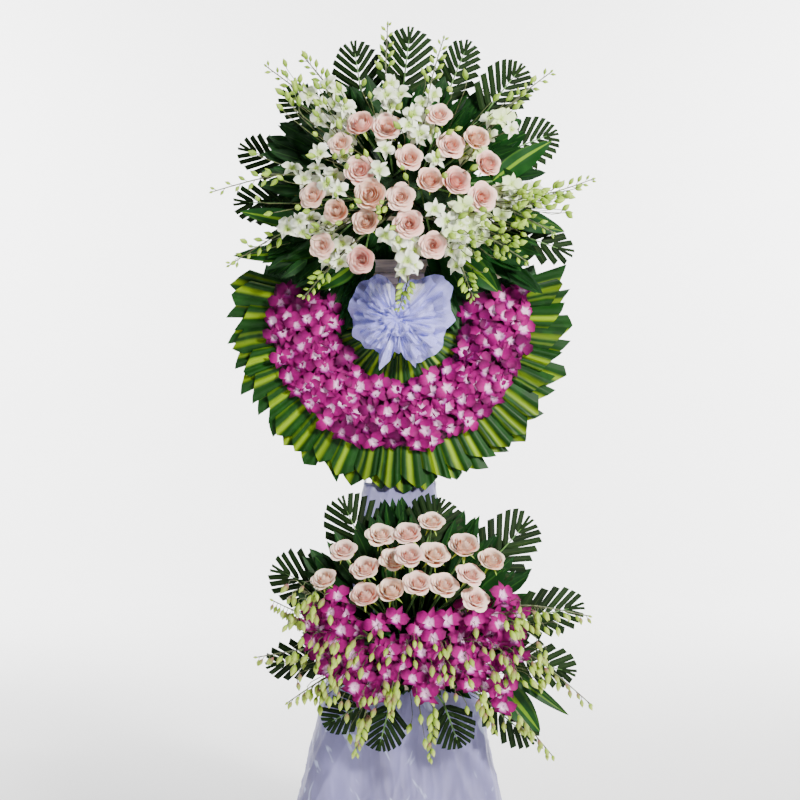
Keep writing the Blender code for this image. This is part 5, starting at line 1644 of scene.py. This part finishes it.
def skirt_rule(u, v):
    """The sheet's point: straight in front, round the corner, then back along the side."""
    height = SKIRT_FOOT + (SKIRT_TOP + 0.006) * v
    half, front = skirt_section(height)
    side = SKIRT_SIDE_DEPTH * (0.45 + 0.55 * (1 - height / SKIRT_TOP))
    corner = min(half, side) * 0.30
    walked = (2 * half + 2 * side) * (u - 0.5)
    pull = skirt_pull(walked * (1 + 0.25 * (1 - v)), height)
    reach = abs(walked) - (half - corner)
    if reach < 0:
        place = Vector((walked, front, height))
        outward = FRONT
    else:
        turn = min(reach / corner, math.pi / 2)
        beyond = max(0, reach - corner * math.pi / 2)
        x = half - corner + corner * math.sin(turn)
        y = front + corner - corner * math.cos(turn) + beyond
        sign = 1 if walked > 0 else -1
        place = Vector((sign * x, y, height))
        outward = Vector((sign * math.sin(turn), -math.cos(turn), 0))
    return place + outward * pull


def at_an_arm(spot):
    """Whether this point of the cloth lies where an arm of the shelf comes through."""
    beside = abs(abs(spot.x) - ARM_OFFSET)
    return beside < SLIT_HALF and abs(spot.z - ARM_HEIGHT) < SLIT_HALF and spot.y < -0.05


def build_skirt():
    mesh = grid_shape("skirt_sheet", 240, 170, skirt_rule)
    bm = bmesh.new()
    bm.from_mesh(mesh)
    slits = [face for face in bm.faces if at_an_arm(face.calc_center_median())]
    bmesh.ops.delete(bm, geom=slits, context="FACES")
    bm.to_mesh(mesh)
    bm.free()
    piece = put_up("skirt_cloth_sheet", mesh, (SATIN,), "skirt_cloth", ("skirt",))
    wall = piece.modifiers.new("wall", "SOLIDIFY")
    wall.thickness = 0.0012
    wall.offset = 0
    bpy.context.view_layer.objects.active = piece
    bpy.ops.object.modifier_apply(modifier="wall")


build_skirt()

# %% [markdown]
# ## Filler leaves
# A florist hides the foam and stems with short dark leaves, pushed in between the flowers. They stand out
# from the foam in every direction, on a dome that is thinner than the flowers'. The beige boards above the
# bow stay bare, with dark leaves hanging behind them, and extra leaves close the gaps at the corners.

# %% Filler leaves
SHORT_LEAF = grid_shape("short_leaf", 4, 7, broad_rule)


def on_the_boards(column, row):
    return abs(column - 398) < 54 and 256 < row < 400


def build_filler(name, focus, seed, extra, count=0, middle=(0, 0), half_size=(0, 0), rim=0, crown=0):
    """Dark leaves whose tips lie on a dome, from its rim at the back to its crown, and at extra spots."""
    draw = random.Random(seed)
    spots = []
    while len(spots) < count:
        turn = draw.uniform(0, 2 * math.pi)
        out = math.sqrt(draw.uniform(0.02, 1))
        column = middle[0] + half_size[0] * out * math.cos(turn)
        row = middle[1] + half_size[1] * out * math.sin(turn)
        depth = rim + (crown - rim) * math.sqrt(1 - out * out) * draw.uniform(0.25, 1.0)
        if not on_the_boards(column, row):
            spots.append((column, row, depth))
    copies = []
    for column, row, depth in (*spots, *extra):
        tip = seen(column, row, depth)
        heading = tip - focus - Vector((0, draw.uniform(-0.01, 0.03), 0))
        length = min(heading.length * 0.9, draw.uniform(0.060, 0.110))
        start = tip - heading.normalized() * length
        face = (FRONT + Vector((draw.uniform(-0.8, 0.8), 0, draw.uniform(-0.5, 0.9)))).normalized()
        matrix = growing(start, tip - start, face, draw.uniform(0.011, 0.021), length)
        copies.append((SHORT_LEAF, matrix, draw.random(), 0))
    gather(name, copies, (FILLER_LEAF,), "palm_green")


UPPER_CORNERS = (
    *strewn((262, 236, -0.130), (338, 292, -0.095), 52, 61),
    *strewn((466, 236, -0.130), (545, 294, -0.095), 54, 62),
    *strewn((350, 240, -0.135), (450, 255, -0.110), 22, 63),
    *strewn((455, 104, -0.100), (482, 128, -0.060), 8, 60),
    *strewn((334, 282, -0.066), (358, 342, -0.058), 24, 66),
    *strewn((446, 282, -0.066), (470, 334, -0.058), 20, 67),
    *strewn((326, 278, -0.075), (344, 298, -0.060), 14, 68),
    *strewn((452, 290, -0.066), (461, 302, -0.058), 7, 56),
    *strewn((347, 314, -0.066), (356, 330, -0.058), 6, 55),
    *strewn((456, 278, -0.075), (476, 298, -0.060), 10, 69),
)
build_filler("upper_filler_leaves", UPPER_FOCUS, 41, UPPER_CORNERS, count=360, middle=(402, 182),
             half_size=(146, 112), rim=-0.055, crown=-0.175)
BEHIND_SLATS = (
    *strewn((348, 268, 0.0035), (388, 284, 0.0050), 16, 57),
    *strewn((415, 268, 0.0035), (452, 284, 0.0050), 15, 58),
    *strewn((376, 276, 0.0035), (392, 286, 0.0050), 8, 54),
)
FAR_ABOVE = Vector((0.0, 0.0045, 2.2))
build_filler("backing_leaves", FAR_ABOVE, 42, BEHIND_SLATS)
LOWER_FRONT = (
    *strewn((330, 668, -0.262), (505, 702, -0.240), 34, 64),
    *strewn((320, 640, -0.285), (510, 680, -0.250), 26, 65),
    *strewn((388, 682, -0.300), (422, 704, -0.285), 10, 70),
    *strewn((376, 496, -0.175), (448, 520, -0.150), 22, 59),
)
build_filler("lower_filler_leaves", LOWER_FOCUS, 43, LOWER_FRONT, count=380, middle=(416, 600),
             half_size=(126, 104), rim=-0.140, crown=-0.245)

# %% [markdown]
